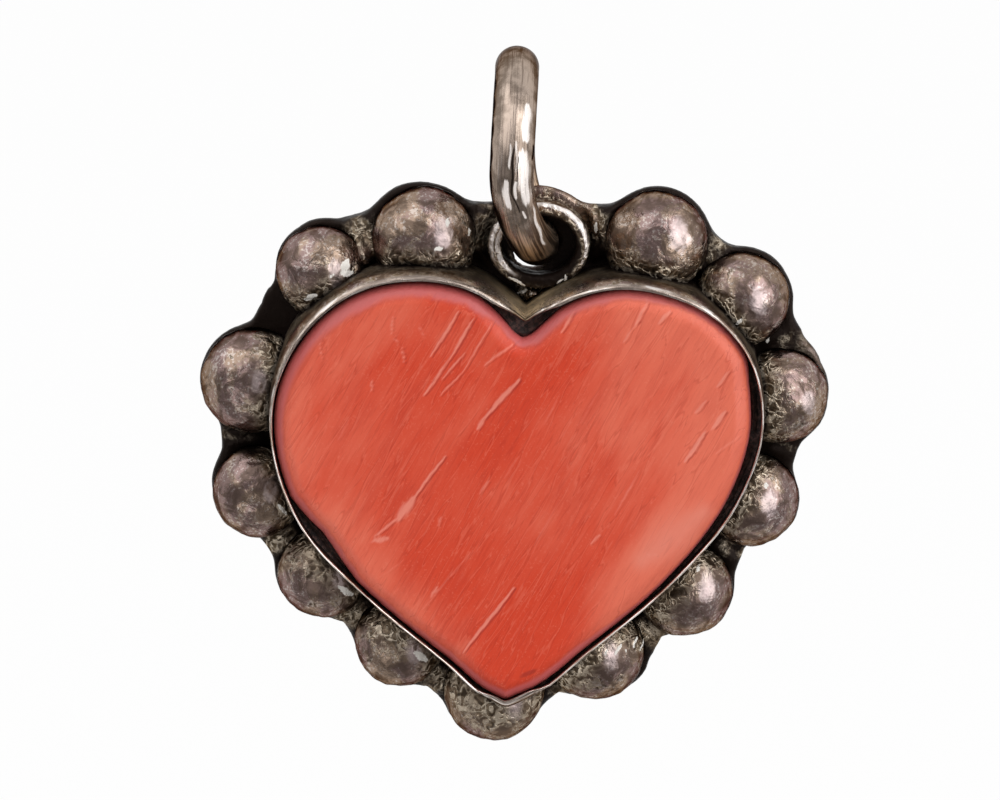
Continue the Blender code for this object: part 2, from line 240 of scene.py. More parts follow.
# Scratches on the stone: both ends across and up from the heart's middle, half width, strength; mm
SCRATCHES = (
    (-2.78, 9.21, -4.15, 6.95, 0.08, 0.90),
    (-2.00, 8.90, -3.20, 6.84, 0.08, 0.90),
    (-3.20, 6.84, -4.55, 4.88, 0.08, 0.80),
    (-1.00, 8.80, -2.55, 6.17, 0.06, 0.70),
    (-2.55, 6.17, -3.75, 4.88, 0.06, 0.70),
    (-2.45, 7.15, -3.60, 5.76, 0.06, 0.70),
    (0.25, 5.76, -1.50, 3.80, 0.11, 1.00),
    (-1.50, 3.80, -1.85, 3.18, 0.12, 0.80),
    (1.75, 8.85, 0.05, 7.62, 0.08, 0.90),
    (0.05, 7.62, -1.50, 6.48, 0.08, 0.70),
    (-6.05, 9.01, -6.15, 8.03, 0.08, 0.60),
    (-6.15, 8.03, -5.60, 7.36, 0.08, 0.60),
    (-5.60, 7.36, -5.50, 6.58, 0.08, 0.70),
    (-4.78, 8.54, -4.55, 8.03, 0.12, 0.50),
    (-7.10, 5.76, -7.15, 5.09, 0.08, 0.60),
    (-9.73, 7.69, -9.62, 6.82, 0.06, 0.60),
    (6.62, 9.62, 6.00, 8.49, 0.10, 0.80),
    (5.85, 8.29, 5.40, 7.56, 0.08, 0.60),
    (7.75, 9.21, 7.20, 8.65, 0.12, 0.80),
    (10.68, 6.14, 10.07, 5.35, 0.09, 0.70),
    (9.54, 4.64, 9.00, 4.01, 0.10, 0.70),
    (10.49, 4.09, 9.88, 3.24, 0.12, 0.90),
    (9.54, 3.08, 8.54, 1.59, 0.11, 0.90),
    (11.30, 2.93, 10.05, 1.95, 0.08, 0.50),
    (6.60, -3.21, 7.30, -3.21, 0.08, 0.60),
    (4.30, -2.18, 3.78, -2.67, 0.10, 0.60),
    (-3.50, 1.79, -5.10, -0.40, 0.07, 0.90),
    (-5.05, -0.35, -5.85, -1.45, 0.22, 0.90),
    (-5.75, -1.30, -6.95, -2.25, 0.08, 0.80),
    (-7.10, -2.54, -6.25, -2.38, 0.15, 0.80),
    (-3.65, -1.20, -3.80, -1.76, 0.08, 0.60),
    (-1.25, 0.61, -1.75, -0.11, 0.08, 0.60),
    (-3.87, -4.91, -4.17, -5.37, 0.10, 0.70),
    (-0.05, -4.96, -2.57, -8.23, 0.08, 1.00),
    (-2.10, -3.00, -4.65, -6.09, 0.06, 0.45),
    (-5.48, -3.49, -6.93, -4.52, 0.06, 0.40),
    (3.00, 9.23, 2.35, 8.18, 0.09, 0.80),
    (0.25, 1.90, -0.50, 0.71, 0.08, 0.40),
    (2.25, -0.42, 1.00, -2.74, 0.08, 0.40),
    (4.25, 5.24, 3.25, 3.44, 0.08, 0.40),
    (2.25, 4.99, 1.50, 3.44, 0.08, 0.40),
    (6.25, 1.12, 5.00, -1.20, 0.08, 0.50),
    (-8.25, 3.70, -8.85, 2.57, 0.08, 0.40),
    (0.75, -6.09, -0.50, -8.15, 0.08, 0.35),
)


def tint(name, description, default):
    """A colour on the panel."""
    return FloatVectorProperty(name=name, description=description, subtype="COLOR", size=4, min=0, max=1,
                               default=default)


class PendantFinishes(bpy.types.PropertyGroup):
    """Colours and wear of the metal and the stone"""
    bright: tint("Bright silver", "Silver rubbed bright on rims and edges", (0.86, 0.80, 0.76, 1))
    grey: tint("Grey silver", "Silver dulled by handling", (0.34, 0.248, 0.188, 1))
    violet: tint("Violet silver", "Silver with a thin coloured tarnish", (0.275, 0.192, 0.178, 1))
    # Also the colour of the beads' painted highlights, the patches laid where the key lamp's reflection falls
    worn: tint("Worn silver", "Silver polished where it stands proud", (0.66, 0.545, 0.54, 1))
    brown: tint("Brown tarnish", "Blotches of tarnish on the silver", (0.10, 0.070, 0.052, 1))
    olive: tint("Olive tarnish", "Thick tarnish round the feet of the beads", (0.18, 0.135, 0.085, 1))
    black: tint("Black tarnish", "Tarnish deep in the corners", (0.014, 0.009, 0.007, 1))
    solder: tint("Solder", "Beige lumps of solder in the corners", (0.72, 0.62, 0.49, 1))
    coral: tint("Coral red", "Main colour of the stone", (0.70, 0.059, 0.022, 1))
    rose: tint("Rose", "Paler parts and scratches of the stone", (0.85, 0.192, 0.115, 1))
    dents: FloatProperty(name="Dents", description="Depth of the dents in the beads",
                         subtype="DISTANCE", unit="LENGTH", min=0, max=0.0005, default=0.0002)


class PendantStudio(bpy.types.PropertyGroup):
    """Lamps, floor and camera"""
    key: FloatProperty(name="Key light", description="Light of the soft box on a white card facing it",
                       min=0, max=2, default=0.84)
    fill: FloatProperty(name="Fill light",
                        description="Light of the second soft box on a white card facing it",
                        min=0, max=2, default=0.40)
    low: FloatProperty(name="Low light", description="Light of a small card low on the left",
                       min=0, max=2, default=0.08)
    drop: FloatProperty(name="Floor", description="Height of the floor under the pendant's top",
                        subtype="DISTANCE", unit="LENGTH", min=-1, max=0, default=-0.09)
    lens: FloatProperty(name="Lens", description="Focal length of the camera in mm",
                        min=50, max=1000, default=500)
    across: FloatProperty(name="Width seen", description="Width of the picture at the pendant",
                          subtype="DISTANCE", unit="LENGTH", min=0.01, max=1, default=0.05015)


# Places: arrays of points as mm across, mm up and mm in front of the plate

def coordinates(piece):
    """The piece's own points, in metres."""
    flat = np.empty(len(piece.data.vertices) * 3)
    piece.data.vertices.foreach_get("co", flat)
    return flat.reshape(-1, 3)


def points_of(piece):
    turned = np.array(HEART.inverted())
    local = coordinates(piece) @ turned[:3, :3].T + turned[:3, 3]
    return np.stack((local[:, 0], local[:, 2], -local[:, 1]), 1) / MM


def place_points(piece, points):
    turned = np.array(HEART)
    local = np.stack((points[:, 0], -points[:, 2], points[:, 1]), 1) * MM
    world = local @ turned[:3, :3].T + turned[:3, 3]
    piece.data.vertices.foreach_set("co", world.ravel())
    piece.data.update()


def store(piece, name, values):
    layer = piece.data.attributes.new(name, "FLOAT", "POINT")
    layer.data.foreach_set("value", np.asarray(values, dtype=np.float32))


def store_places(piece, name, values):
    layer = piece.data.attributes.new(name, "FLOAT_VECTOR", "POINT")
    layer.data.foreach_set("vector", np.asarray(values, dtype=np.float32).ravel())


def turn_of(spots):
    """Direction from the heart's middle, in degrees from its right-hand side, from -90 to 270."""
    turn = np.degrees(np.arctan2(spots[:, 1], spots[:, 0]))
    return np.where(turn < -90, turn + 360, turn)


def look_up(table, place):
    rows = np.array(table)
    return np.interp(place, rows[:, 0], rows[:, 1])


def smooth(low, high, x):
    t = np.clip((x - low) / (high - low), 0, 1)
    return t * t * (3 - 2 * t)


def about(points, spot, near, far):
    """1 nearer to a spot than the first distance and 0 beyond the second, smooth between them."""
    return 1 - smooth(near, far, np.hypot(points[:, 0] - spot[0], points[:, 1] - spot[1]))


def length_round(loop):
    return float(np.linalg.norm(loop - np.roll(loop, 1, 0), axis=1).sum())


def loop_at(piece, level):
    """The longest closed row of points of a merged copy at one level, as (across, up)."""
    points = points_of(piece)
    at = np.abs(points[:, 2] - level) < 0.02
    near = {}
    for edge in piece.data.edges:
        a, b = edge.vertices
        if at[a] and at[b]:
            near.setdefault(a, []).append(b)
            near.setdefault(b, []).append(a)
    loops = []
    left = set(near)
    while left:
        step = min(left)
        loop = []
        while step is not None:
            loop.append(step)
            left.discard(step)
            step = next((n for n in near[step] if n in left), None)
        loops.append(points[loop][:, :2])
    return max(loops, key=length_round)


def nearest_on_loop(loop, spots):
    """Nearest points on a closed row of points, the distances to them, and which spots lie inside."""
    start, end = loop, np.roll(loop, -1, 0)
    along = end - start
    length = (along ** 2).sum(1)
    climb = np.where(along[:, 1] == 0, 1, along[:, 1])
    foot = np.empty_like(spots)
    far = np.empty(len(spots))
    inside = np.zeros(len(spots), bool)
    for i in range(0, len(spots), 4000):
        part = spots[i:i + 4000, None]
        share = (((part - start) * along).sum(2) / length).clip(0, 1)
        near = start + along * share[..., None]
        gap = np.linalg.norm(part - near, axis=2)
        pick = gap.argmin(1)
        rows = np.arange(len(pick))
        foot[i:i + 4000] = near[rows, pick]
        far[i:i + 4000] = gap[rows, pick]
        up = part[..., 1]
        crosses = (start[:, 1] > up) != (end[:, 1] > up)
        side = start[:, 0] + (up - start[:, 1]) * along[:, 0] / climb
        inside[i:i + 4000] = ((crosses & (part[..., 0] < side)).sum(1) % 2) == 1
    return foot, far, inside


def node_loop(node, level):
    """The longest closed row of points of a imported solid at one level."""
    copy = node_copy(node, "pattern")
    loop = loop_at(copy, level)
    bpy.data.objects.remove(copy)
    return loop


def lip_over(turn):
    """How far the lip is leant over the stone along the lobes, from 0 to 1."""
    return smooth(30, 56, turn) * (1 - smooth(140, 168, turn))


def lean_share(over):
    """Share of the full lean that the lip has where it is leant over by some part."""
    return 0.15 + 0.85 * over


def lip_wall(over):
    """Thickness of the strip, which is thinner where the lip stands up."""
    return WALL * (0.55 + 0.45 * over)


def stone_depth(turn):
    """How far the stone's edge lies inside the strip's outer face, in mm."""
    over = lip_over(turn)
    return lip_wall(over) + LIP_ROOM * lean_share(over) + look_up(GAPS, turn)


def loop_inside(wall, depth_at):
    """Where rays from the heart's middle come to a depth inside the wall, as reaches along them."""
    turn = np.arange(RAYS) * 360 / RAYS - 90
    rays = np.stack((np.cos(np.radians(turn)), np.sin(np.radians(turn))), 1)
    depth = depth_at(turn)
    low, high = np.zeros(RAYS), np.full(RAYS, 16.0)
    for _ in range(16):
        reach = (low + high) / 2
        _, far, inside = nearest_on_loop(wall, rays * reach[:, None])
        deep = np.where(inside, far, -far) >= depth
        low = np.where(deep, reach, low)
        high = np.where(deep, high, reach)
    return turn, rays * low[:, None]


# Meshes

def select_only(piece):
    bpy.ops.object.select_all(action="DESELECT")
    piece.select_set(True)
    bpy.context.view_layer.objects.active = piece


def edit(piece, kind="VERT", action="SELECT"):
    """Opens a piece in edit mode with all or nothing selected, or as it was where action is None."""
    select_only(piece)
    bpy.ops.object.mode_set(mode="EDIT")
    bpy.ops.mesh.select_mode(type=kind)
    if action:
        bpy.ops.mesh.select_all(action=action)


def done():
    bpy.ops.object.mode_set(mode="OBJECT")


def selected(piece):
    chosen = np.empty(len(piece.data.vertices), bool)
    piece.data.vertices.foreach_get("select", chosen)
    return chosen


def choose(piece, chosen):
    """Opens a piece in edit mode with only the chosen points selected."""
    edit(piece, action="DESELECT")
    done()
    piece.data.vertices.foreach_set("select", chosen)
    edit(piece, action=None)


def node_copy(node, name):
    """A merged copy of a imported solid, to be worked finer."""
    mesh = frame["nodes"][node].data.copy()
    mesh.materials.clear()
    piece = bpy.data.objects.new(name, mesh)
    bpy.context.collection.objects.link(piece)
    select_only(piece)
    if mesh.has_custom_normals:
        bpy.ops.mesh.customdata_custom_splitnormals_clear()
    edit(piece)
    bpy.ops.mesh.remove_doubles(threshold=0.001 * MM)
    done()
    return piece


def modify(piece, kind, **settings):
    """Adds a modifier and applies it."""
    select_only(piece)
    modifier = piece.modifiers.new(kind.lower(), kind)
    for key, value in settings.items():
        setattr(modifier, key, value)
    bpy.ops.object.modifier_apply(modifier=modifier.name)


def remesh(piece, cube, passes):
    """Meshes a copy again from small cubes, and smooths their steps."""
    modify(piece, "REMESH", mode="VOXEL", voxel_size=cube)
    modify(piece, "SMOOTH", factor=0.5, iterations=passes)


def hammer(piece, size, depth, group=""):
    """Moves the surface in and out by a cloud pattern of one size."""
    texture = bpy.data.textures.new(f"{piece.name}_clouds", "CLOUDS")
    texture.noise_scale = size
    modify(piece, "DISPLACE", texture=texture, strength=depth, mid_level=0.5, texture_coords="LOCAL",
           vertex_group=group)
    bpy.data.textures.remove(texture)


def strokes(table, spots):
    """How deep each spot lies in one of a table's strokes, from 0 to 1."""
    depth = np.zeros(len(spots))
    for x0, y0, x1, y1, half, strength in table:
        start, along = np.array((x0, y0)), np.array((x1 - x0, y1 - y0))
        length = np.linalg.norm(along)
        share = (spots - start) @ along / length**2
        side = (spots - start) @ np.array((-along[1], along[0])) / length
        side = side - 0.014 * np.sin(share * 7 + x0 * 5) - 0.010 * np.sin(share * 29 + y0 * 3)
        beyond = np.maximum(np.abs(share - 0.5) - 0.5, 0) * length
        taper = 0.45 + 0.55 * np.sin(math.pi * np.clip(share, 0.05, 0.95))
        away = np.hypot(side, beyond) / (half * taper * 1.25)
        depth = np.maximum(depth, strength * np.exp(-away ** 2))
    return depth


def mark_glints(piece):
    """Marks the painted glint highlights on a piece, but not on the plate's back."""
    points = points_of(piece)
    store(piece, "glint", strokes(GLINTS, points[:, :2]) * (points[:, 2] > 0.1))


def weigh(piece, name, weights):
    """A vertex group with a weight for each point."""
    group = piece.vertex_groups.new(name=name)
    steps = np.round(np.clip(weights, 0, 1) * 20).astype(int)
    for step in range(1, 21):
        chosen = np.where(steps == step)[0]
        if len(chosen):
            group.add(chosen.tolist(), step / 20, "REPLACE")


def gaps(piece, *own):
    """Distance in mm from each point to the nearest of the other fixed solids."""
    verts, faces = [], []
    for name, node in frame["nodes"].items():
        if name in own or name == "bail":
            continue
        start = len(verts)
        verts += [v.co.copy() for v in node.data.vertices]
        faces += [[start + i for i in face.vertices] for face in node.data.polygons]
    tree = BVHTree.FromPolygons(verts, faces)
    return np.array([tree.find_nearest(v.co)[3] for v in piece.data.vertices]) / MM


def settle(piece, body, finish, node, angle=50):
    """Shades a piece smooth, gives it its finish and its body, and hides the solid it stands for."""
    select_only(piece)
    bpy.ops.object.shade_smooth_by_angle(angle=math.radians(angle))
    piece.data.materials.clear()
    piece.data.materials.append(finish)
    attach(piece, body)
    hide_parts(node)


# Shader maths

class Number:
    """A number socket; an expression on it adds its Math nodes."""

    def __init__(self, sheet, socket):
        self.sheet = sheet
        self.socket = socket

    def __add__(self, other):
        return self.sheet.math("ADD", self, other)

    def __radd__(self, other):
        return self.sheet.math("ADD", other, self)

    def __sub__(self, other):
        return self.sheet.math("SUBTRACT", self, other)

    def __rsub__(self, other):
        return self.sheet.math("SUBTRACT", other, self)

    def __mul__(self, other):
        return self.sheet.math("MULTIPLY", self, other)

    def __rmul__(self, other):
        return self.sheet.math("MULTIPLY", other, self)

    def larger(self, other):
        return self.sheet.math("MAXIMUM", self, other)

    def size(self):
        return self.sheet.math("ABSOLUTE", self, 0.0)

    def step(self, low, high):
        """0 below low and 1 above high, smooth between them."""
        node = self.sheet.add("ShaderNodeMapRange", {"interpolation_type": "SMOOTHSTEP"},
                              {0: self, 1: low, 2: high, 3: 0.0, 4: 1.0})
        return Number(self.sheet, node.outputs[0])


class Sheet:
    """A node tree, written as expressions."""

    def __init__(self, tree):
        self.tree = tree

    def add(self, kind, settings=(), sockets=()):
        """A node of a kind, its settings made first, then the values or links of its sockets."""
        node = self.tree.nodes.new(kind)
        for key, value in dict(settings).items():
            setattr(node, key, value)
        for key, value in dict(sockets).items():
            self.put(node.inputs[key], value)
        return node

    def put(self, socket, value):
        if isinstance(value, Number):
            value = value.socket
        if isinstance(value, bpy.types.NodeSocket):
            self.tree.links.new(value, socket)
        else:
            socket.default_value = value

    def math(self, operation, a, b):
        node = self.add("ShaderNodeMath", {"operation": operation}, {0: a, 1: b})
        return Number(self, node.outputs[0])

    def mix(self, factor, a, b):
        node = self.add("ShaderNodeMix", {"data_type": "RGBA"}, {0: factor, 6: a, 7: b})
        return node.outputs[2]

    def layers(self, colour, *layers):
        """A colour with others laid over it in turn, each as far as its factor says."""
        for factor, over in layers:
            colour = self.mix(factor, colour, over)
        return colour


class Finish(Sheet):
    """A material's node tree, with a Principled shader at its end."""

    def __init__(self, name):
        self.material = bpy.data.materials.new(name)
        self.material.use_nodes = True
        super().__init__(self.material.node_tree)
        self.shader = self.tree.nodes["Principled BSDF"]
        self.place = self.add("ShaderNodeTexCoord").outputs["Object"]

    def mapped(self, location=(0, 0, 0), rotation=(0, 0, 0), scale=(1, 1, 1), place=None):
        node = self.add("ShaderNodeMapping", {"vector_type": "POINT"},
                        {0: place or self.place, 1: location, 2: rotation, 3: scale})
        return node.outputs[0]

    def noise(self, size, detail=2.0, roughness=0.5, distortion=0.0, place=None):
        """Noise from 0 to 1 with features of about a size, in metres."""
        node = self.add("ShaderNodeTexNoise", sockets={
            "Vector": place or self.place, "Scale": 1 / size, "Detail": detail,
            "Roughness": roughness, "Distortion": distortion})
        return Number(self, node.outputs["Fac"])

    def attribute(self, name):
        return Number(self, self.add("ShaderNodeAttribute", {"attribute_name": name}).outputs["Fac"])

    def relief(self, height, depth):
        """Bump of a height from 0 to 1 over a depth in metres."""
        node = self.add("ShaderNodeBump", sockets={"Strength": 1.0, "Distance": depth, "Height": height})
        self.put(self.shader.inputs["Normal"], node.outputs[0])

    def dark_edges(self):
        """Tarnish keeps the metal from brightening where it is seen along its surface."""
        self.shader.inputs["Specular Tint"].default_value = DARK_EDGE

    def set(self, **sockets):
        names = {"colour": "Base Color", "roughness": "Roughness", "metallic": "Metallic",
                 "gloss": "Specular IOR Level"}
        for key, value in sockets.items():
            self.put(self.shader.inputs[names[key]], value)


# Finishes

# Colours that aren't on the panel
DARK_EDGE = (0.22, 0.19, 0.18, 1)
# Near-white, not metal: the colour of the painted glint highlights
PAINTED_GLINT = (0.95, 0.92, 0.86, 1)
RIM_DULL = (0.26, 0.21, 0.18, 1)
RIM_WORN = (0.56, 0.47, 0.40, 1)
NOTCH_BROWN = (0.16, 0.115, 0.075, 1)
# Pale olive of the pocket at the notch: solder colour, lightened as painted light
POCKET_SOLDER_AND_LIGHT = (0.62, 0.46, 0.27, 1)
BACK_DULL = (0.36, 0.30, 0.26, 1)
BACK_PALE = (0.50, 0.43, 0.38, 1)
BACK_CLOUD = (0.17, 0.125, 0.10, 1)
WIRE_DULL = (0.26, 0.205, 0.165, 1)
WIRE_PALE = (0.51, 0.41, 0.34, 1)
WIRE_HAIR = (0.20, 0.15, 0.12, 1)
# Colours of the bail's painted highlight streaks, and of its grooves and painted shade
WIRE_HIGHLIGHT = (0.98, 0.91, 0.86, 1)
WIRE_GROOVE_AND_SHADE = (0.03, 0.02, 0.015, 1)
RUST_DARK = (0.14, 0.095, 0.065, 1)
RUST_PALE = (0.82, 0.61, 0.44, 1)
FIBRE_PALE = (0.82, 0.17, 0.10, 1)
FIBRE_DARK = (0.48, 0.028, 0.014, 1)
STONE_DEEP = (0.50, 0.055, 0.035, 1)
STONE_SPECK = (0.84, 0.25, 0.16, 1)
STONE_SHEEN = (0.86, 0.30, 0.22, 1)
STONE_MAUVE = (0.58, 0.14, 0.145, 1)
THREAD_PALE = (0.88, 0.26, 0.17, 1)
THREAD_DARK = (0.42, 0.025, 0.012, 1)
SCRATCH_PALE = (0.89, 0.30, 0.22, 1)
SCRATCH_SHADE = (0.38, 0.028, 0.018, 1)
SEAM_DARK = (0.40, 0.045, 0.035, 1)
CEMENT_DARK = (0.012, 0.006, 0.005, 1)
CEMENT_PALE = (0.085, 0.042, 0.035, 1)


def hue(name):
    """A colour of the panel."""
    return tuple(getattr(bpy.context.scene.pendant_finishes, name))


def rim_band(finish):
    """Where the strip's top edge is, and its colour, streaked along it and bright where it is thin."""
    strip = finish.add("ShaderNodeAttribute", {"attribute_name": "strip"}).outputs["Vector"]
    streak = finish.noise(1.0, 3.0, 0.6, 0.1, finish.mapped(scale=(0.7, 0.7, 11), place=strip))
    edge = (finish.attribute("rise") + (streak - 0.5) * 0.06).step(4.24, 4.36)
    wide = finish.mix(streak.step(0.36, 0.60), RIM_DULL, RIM_WORN)
    wide = finish.mix(streak.step(0.54, 0.64) * 0.9, wide, hue("bright"))
    thin = finish.mix(streak.step(0.42, 0.60), hue("grey"), hue("bright"))
    band = finish.layers(thin, (finish.attribute("over"), wide), (finish.attribute("notch"), NOTCH_BROWN))
    return edge, band


def brushed_back(finish):
    """Colour and relief of the plate's back, brushed across and clouded."""
    across = finish.mapped(rotation=(0, 0.5, 0), scale=(0.04, 1, 1))
    brushed = finish.noise(0.11 * MM, 3.0, 0.6, 0.3, across)
    cloud = finish.noise(3.6 * MM, 5.0, 0.6, 0.3)
    sheet = finish.mix(brushed.step(0.35, 0.65), BACK_DULL, BACK_PALE)
    sheet = finish.mix((cloud + (brushed - 0.5) * 0.2).step(0.48, 0.70) * 0.75, sheet, BACK_CLOUD)
    return sheet, brushed * 0.2


def silver_finish(name, black_to, olive_to, patch=0.85 * MM, rim=False, back=False, grain=0.08 * MM,
                  bare=0.45, polish_and_highlight=0.6, lumpy=0.9, patchy=0.75, rubbed_and_highlit="worn"):
    """Old silver: black in the corners, solder lumps next to them, patches of brown and violet elsewhere.

    It is black and then olive up to two gaps from the next piece, in mm. patch and grain are the size of
    its blotches and the depth of its relief. bare is how much of the lumps shows in the black, the polish how
    bright its rubbed places and painted highlights are, lumpy how strong its lumps are, and patchy how
    unevenly they are spread. The last argument names the panel's colour for those rubbed places and painted
    highlights. Painted glint highlights lie over all, near-white and not metal. rim adds the strip's top edge
    and the filled pocket at the notch, whose pale olive is partly painted light that lifts its shade, and
    back the plate's brushed back.
    """
    finish = Finish(name)
    gap = finish.attribute("gap")
    rub = finish.attribute("rub")
    fine = finish.noise(0.15 * MM, 2.0, 0.5)
    blotch = finish.noise(patch, 4.0, 0.55, 0.7)
    broad = finish.noise(1.9 * MM, 2.0, 0.5, 0.6)
    winding = finish.noise(0.52 * MM, 1.5, 0.5, 0.9)
    near = gap * (1 + (blotch - 0.5) * 2.8 + (fine - 0.5) * 0.8)
    black = (1 - near.step(black_to * 0.3, black_to)) * (1 - rub)
    olive = (1 - near.step(black_to, olive_to)) * (1 - rub)
    ridge = 1 - (winding - 0.5 + (fine - 0.5) * 0.12).size().step(0.025, 0.100)
    lumps = ridge * olive * (1 - black * (1 - bare)) * (broad.step(0.40, 0.54) * patchy + (1 - patchy))
    pits = (winding - 0.5).size().step(0.10, 0.17) * olive
    dull = (blotch + (fine - 0.5) * 0.25).step(0.46, 0.62)
    fleck = (fine + (0.5 - blotch) * 0.8).step(0.56, 0.72)
    # Rubbed places, which are also painted highlights
    worn = (rub + (blotch - 0.5) * -1.2 + (fine - 0.5) * 0.4).step(0.35, 0.75)
    # Painted highlights: near-white and not metal in the glint strokes
    glint = (finish.attribute("glint") + (fine - 0.5) * 0.6).step(0.35, 0.60)
    colour = finish.mix((broad + (fine - 0.5) * 0.3).step(0.43, 0.57), hue("violet"), hue("grey"))
    colour = finish.layers(
        colour,
        (dull * 0.72, hue("brown")),
        (fleck * 0.35, hue("bright")),
        (worn * polish_and_highlight, hue(rubbed_and_highlit)),
        (olive * 0.85, hue("olive")),
        (black.larger(pits * 0.8 * lumpy), hue("black")),
        (lumps * lumpy, hue("solder")),
        (finish.attribute("low_down"), hue("black")),
        (glint, PAINTED_GLINT),
    )
    plain = 0.0
    roughness = 0.235 + rub * 0.12 + dull * 0.13 + olive * 0.12 + (fine - 0.5) * 0.2
    height = fine * 0.10 + blotch * 0.9 + lumps * lumpy
    if rim:
        edge, band = rim_band(finish)
        # The pocket at the notch: pale olive and not metal, partly solder and partly painted light that lifts its
        # shade
        pocket = finish.attribute("pocket") * ((blotch - 0.5) * 1.6 + (fine - 0.5) + 0.8)
        colour = finish.layers(colour, (pocket * 0.9, POCKET_SOLDER_AND_LIGHT), (edge, band))
        black = black * (1 - edge)
        plain = pocket * (1 - edge) * 0.8
    if back:
        behind = finish.attribute("behind")
        sheet, hairs = brushed_back(finish)
        colour = finish.mix(behind, colour, sheet)
        roughness = roughness + behind * 0.12
        height = height * (1 - behind) + behind * hairs
    finish.set(colour=colour, roughness=roughness, metallic=1 - (black * 0.7).larger(glint).larger(plain))
    finish.dark_edges()
    finish.relief(height, grain)
    return finish.material


def bail_finish():
    """Drawn wire: streaks along it, brown tarnish low down, painted highlights as white streaks, and dark lines
    that are grooves and painted shade.
    """
    finish = Finish("bail_silver")
    wire = finish.add("ShaderNodeTexCoord").outputs["UV"]
    streak = finish.noise(1.0, 3.0, 0.55, 0.2, finish.mapped(scale=(5.0, 13, 1), place=wire))
    hair = finish.noise(1.0, 3.0, 0.6, 0.2, finish.mapped(scale=(9, 46, 1), place=wire))
    fine = finish.noise(0.14 * MM, 3.0, 0.6)
    broad = finish.noise(0.9 * MM, 3.0, 0.6)
    brown = (finish.attribute("low") + (streak - 0.5) * 0.5 + (fine - 0.5) * 0.3).step(0.66, 0.80)
    rust = finish.mix((hair * 0.5 + streak * 0.5).step(0.44, 0.56), RUST_DARK, RUST_PALE)
    # Painted highlights: near-white streaks, made less metallic so that they stay bright
    shine = (finish.attribute("shine") * 1.15 + (hair - 0.5) * 1.6 + (streak - 0.5) * 0.8).step(0.40, 1.0)
    # Dark lines: grooves, and painted shade down the edges and over the low end
    groove = (finish.attribute("groove") + (hair - 0.5) * 0.8).step(0.25, 0.75)
    colour = finish.mix((broad + (streak - 0.5) * 0.5).step(0.38, 0.62), WIRE_DULL, WIRE_PALE)
    colour = finish.layers(
        colour,
        (hair.step(0.53, 0.62) * 0.7, WIRE_HAIR),
        (brown * 0.85, rust),
        (shine, WIRE_HIGHLIGHT),
        (groove * 0.95, WIRE_GROOVE_AND_SHADE),
    )
    roughness = 0.26 + brown * 0.10 + (fine - 0.5) * 0.1
    finish.set(colour=colour, roughness=roughness, metallic=1 - shine * 0.75)
    finish.dark_edges()
    finish.relief(hair * 0.4 + streak + fine * 0.05, 0.06 * MM)
    return finish.material


def thread(level):
    """A fine line just above the level where a noise passes 0."""
    return level.step(0.0, 0.010) * (1 - level.step(0.010, 0.026))


def shell_finish():
    """Coral-red shell with fine pale fibres that run up to the right, mauve at its rounded edge."""
    finish = Finish("shell")
    scratch = finish.attribute("scratch")
    flat = finish.mapped(rotation=(-PITCH, 0, 0))
    turned = finish.mapped(rotation=(0, GRAIN - math.pi / 2, 0), place=flat)
    along = finish.mapped(scale=(1, 1, 0.09), place=turned)
    fibre = finish.noise(0.12 * MM, 3.0, 0.65, 0.5, along)
    streak = finish.noise(0.30 * MM, 4.0, 0.65, 0.4, along)
    line = finish.noise(0.60 * MM, 2.0, 0.5, 0.3, along) - 0.5
    band = finish.noise(1.3 * MM, 3.0, 0.55, 0.3, finish.mapped(scale=(1, 1, 0.22), place=turned))
    patch = finish.noise(4.2 * MM, 3.0, 0.5, 0.4, finish.mapped(scale=(1, 1, 0.5), place=turned))
    grain = finish.noise(0.12 * MM, 3.0, 0.6)
    across = Number(finish, finish.add("ShaderNodeSeparateXYZ", sockets={0: finish.place}).outputs[0])
    # Painted light: paler towards both sides and most on the right, where the key lamp is, and paler under the
    # painted edge sheen
    side = across.size() * (0.028 / MM) + across * (0.012 / MM)
    pale = patch * 0.8 + side + finish.attribute("blush") * 0.35
    pale = (pale + (band - 0.5) * 0.15 + (streak - 0.5) * 0.15).step(0.34, 0.82)
    deep = 1 - (band + (fibre - 0.5) * 0.3).step(0.36, 0.52)
    torn = (scratch * (0.35 + fibre * 1.2)).step(0.15, 0.85)
    ragged = finish.attribute("inset") + (streak - 0.5) * 0.35 + (band - 0.5) * 0.9 + (patch - 0.5) * 0.8
    seam = ragged.step(0.70, 0.98) * (1 - ragged.step(0.98, 1.30))
    colour = finish.mix(pale * 0.9, hue("coral"), hue("rose"))
    colour = finish.layers(
        colour,
        (streak.step(0.52, 0.74) * 0.22, FIBRE_PALE),
        (deep * 0.16, STONE_DEEP),
        ((1 - fibre.step(0.34, 0.47)) * (0.26 - pale * 0.17), FIBRE_DARK),
        (thread(line) * 0.20, THREAD_PALE),
        (thread(0 - line) * 0.25, THREAD_DARK),
        ((grain + fibre * 0.5).step(0.82, 1.0) * 0.25, STONE_SPECK),
        # Painted shade beside each scratch, and a dark mark near the tip
        (finish.attribute("shade").step(0.15, 0.80) * 0.7, SCRATCH_SHADE),
        (torn * 0.74, SCRATCH_PALE),
        (finish.attribute("sheen") * (0.25 + streak * 0.5), STONE_SHEEN),
        (seam * 0.22, SEAM_DARK),
        ((1 - ragged.step(0.62, 1.12)) * 0.75, STONE_MAUVE),
    )
    finish.set(colour=colour, roughness=0.34 + (grain - 0.5) * 0.25 + scratch * 0.12, gloss=0.35)
    finish.relief(streak * 0.5 + fibre * 0.4 + grain * 0.15, 0.045 * MM)
    return finish.material


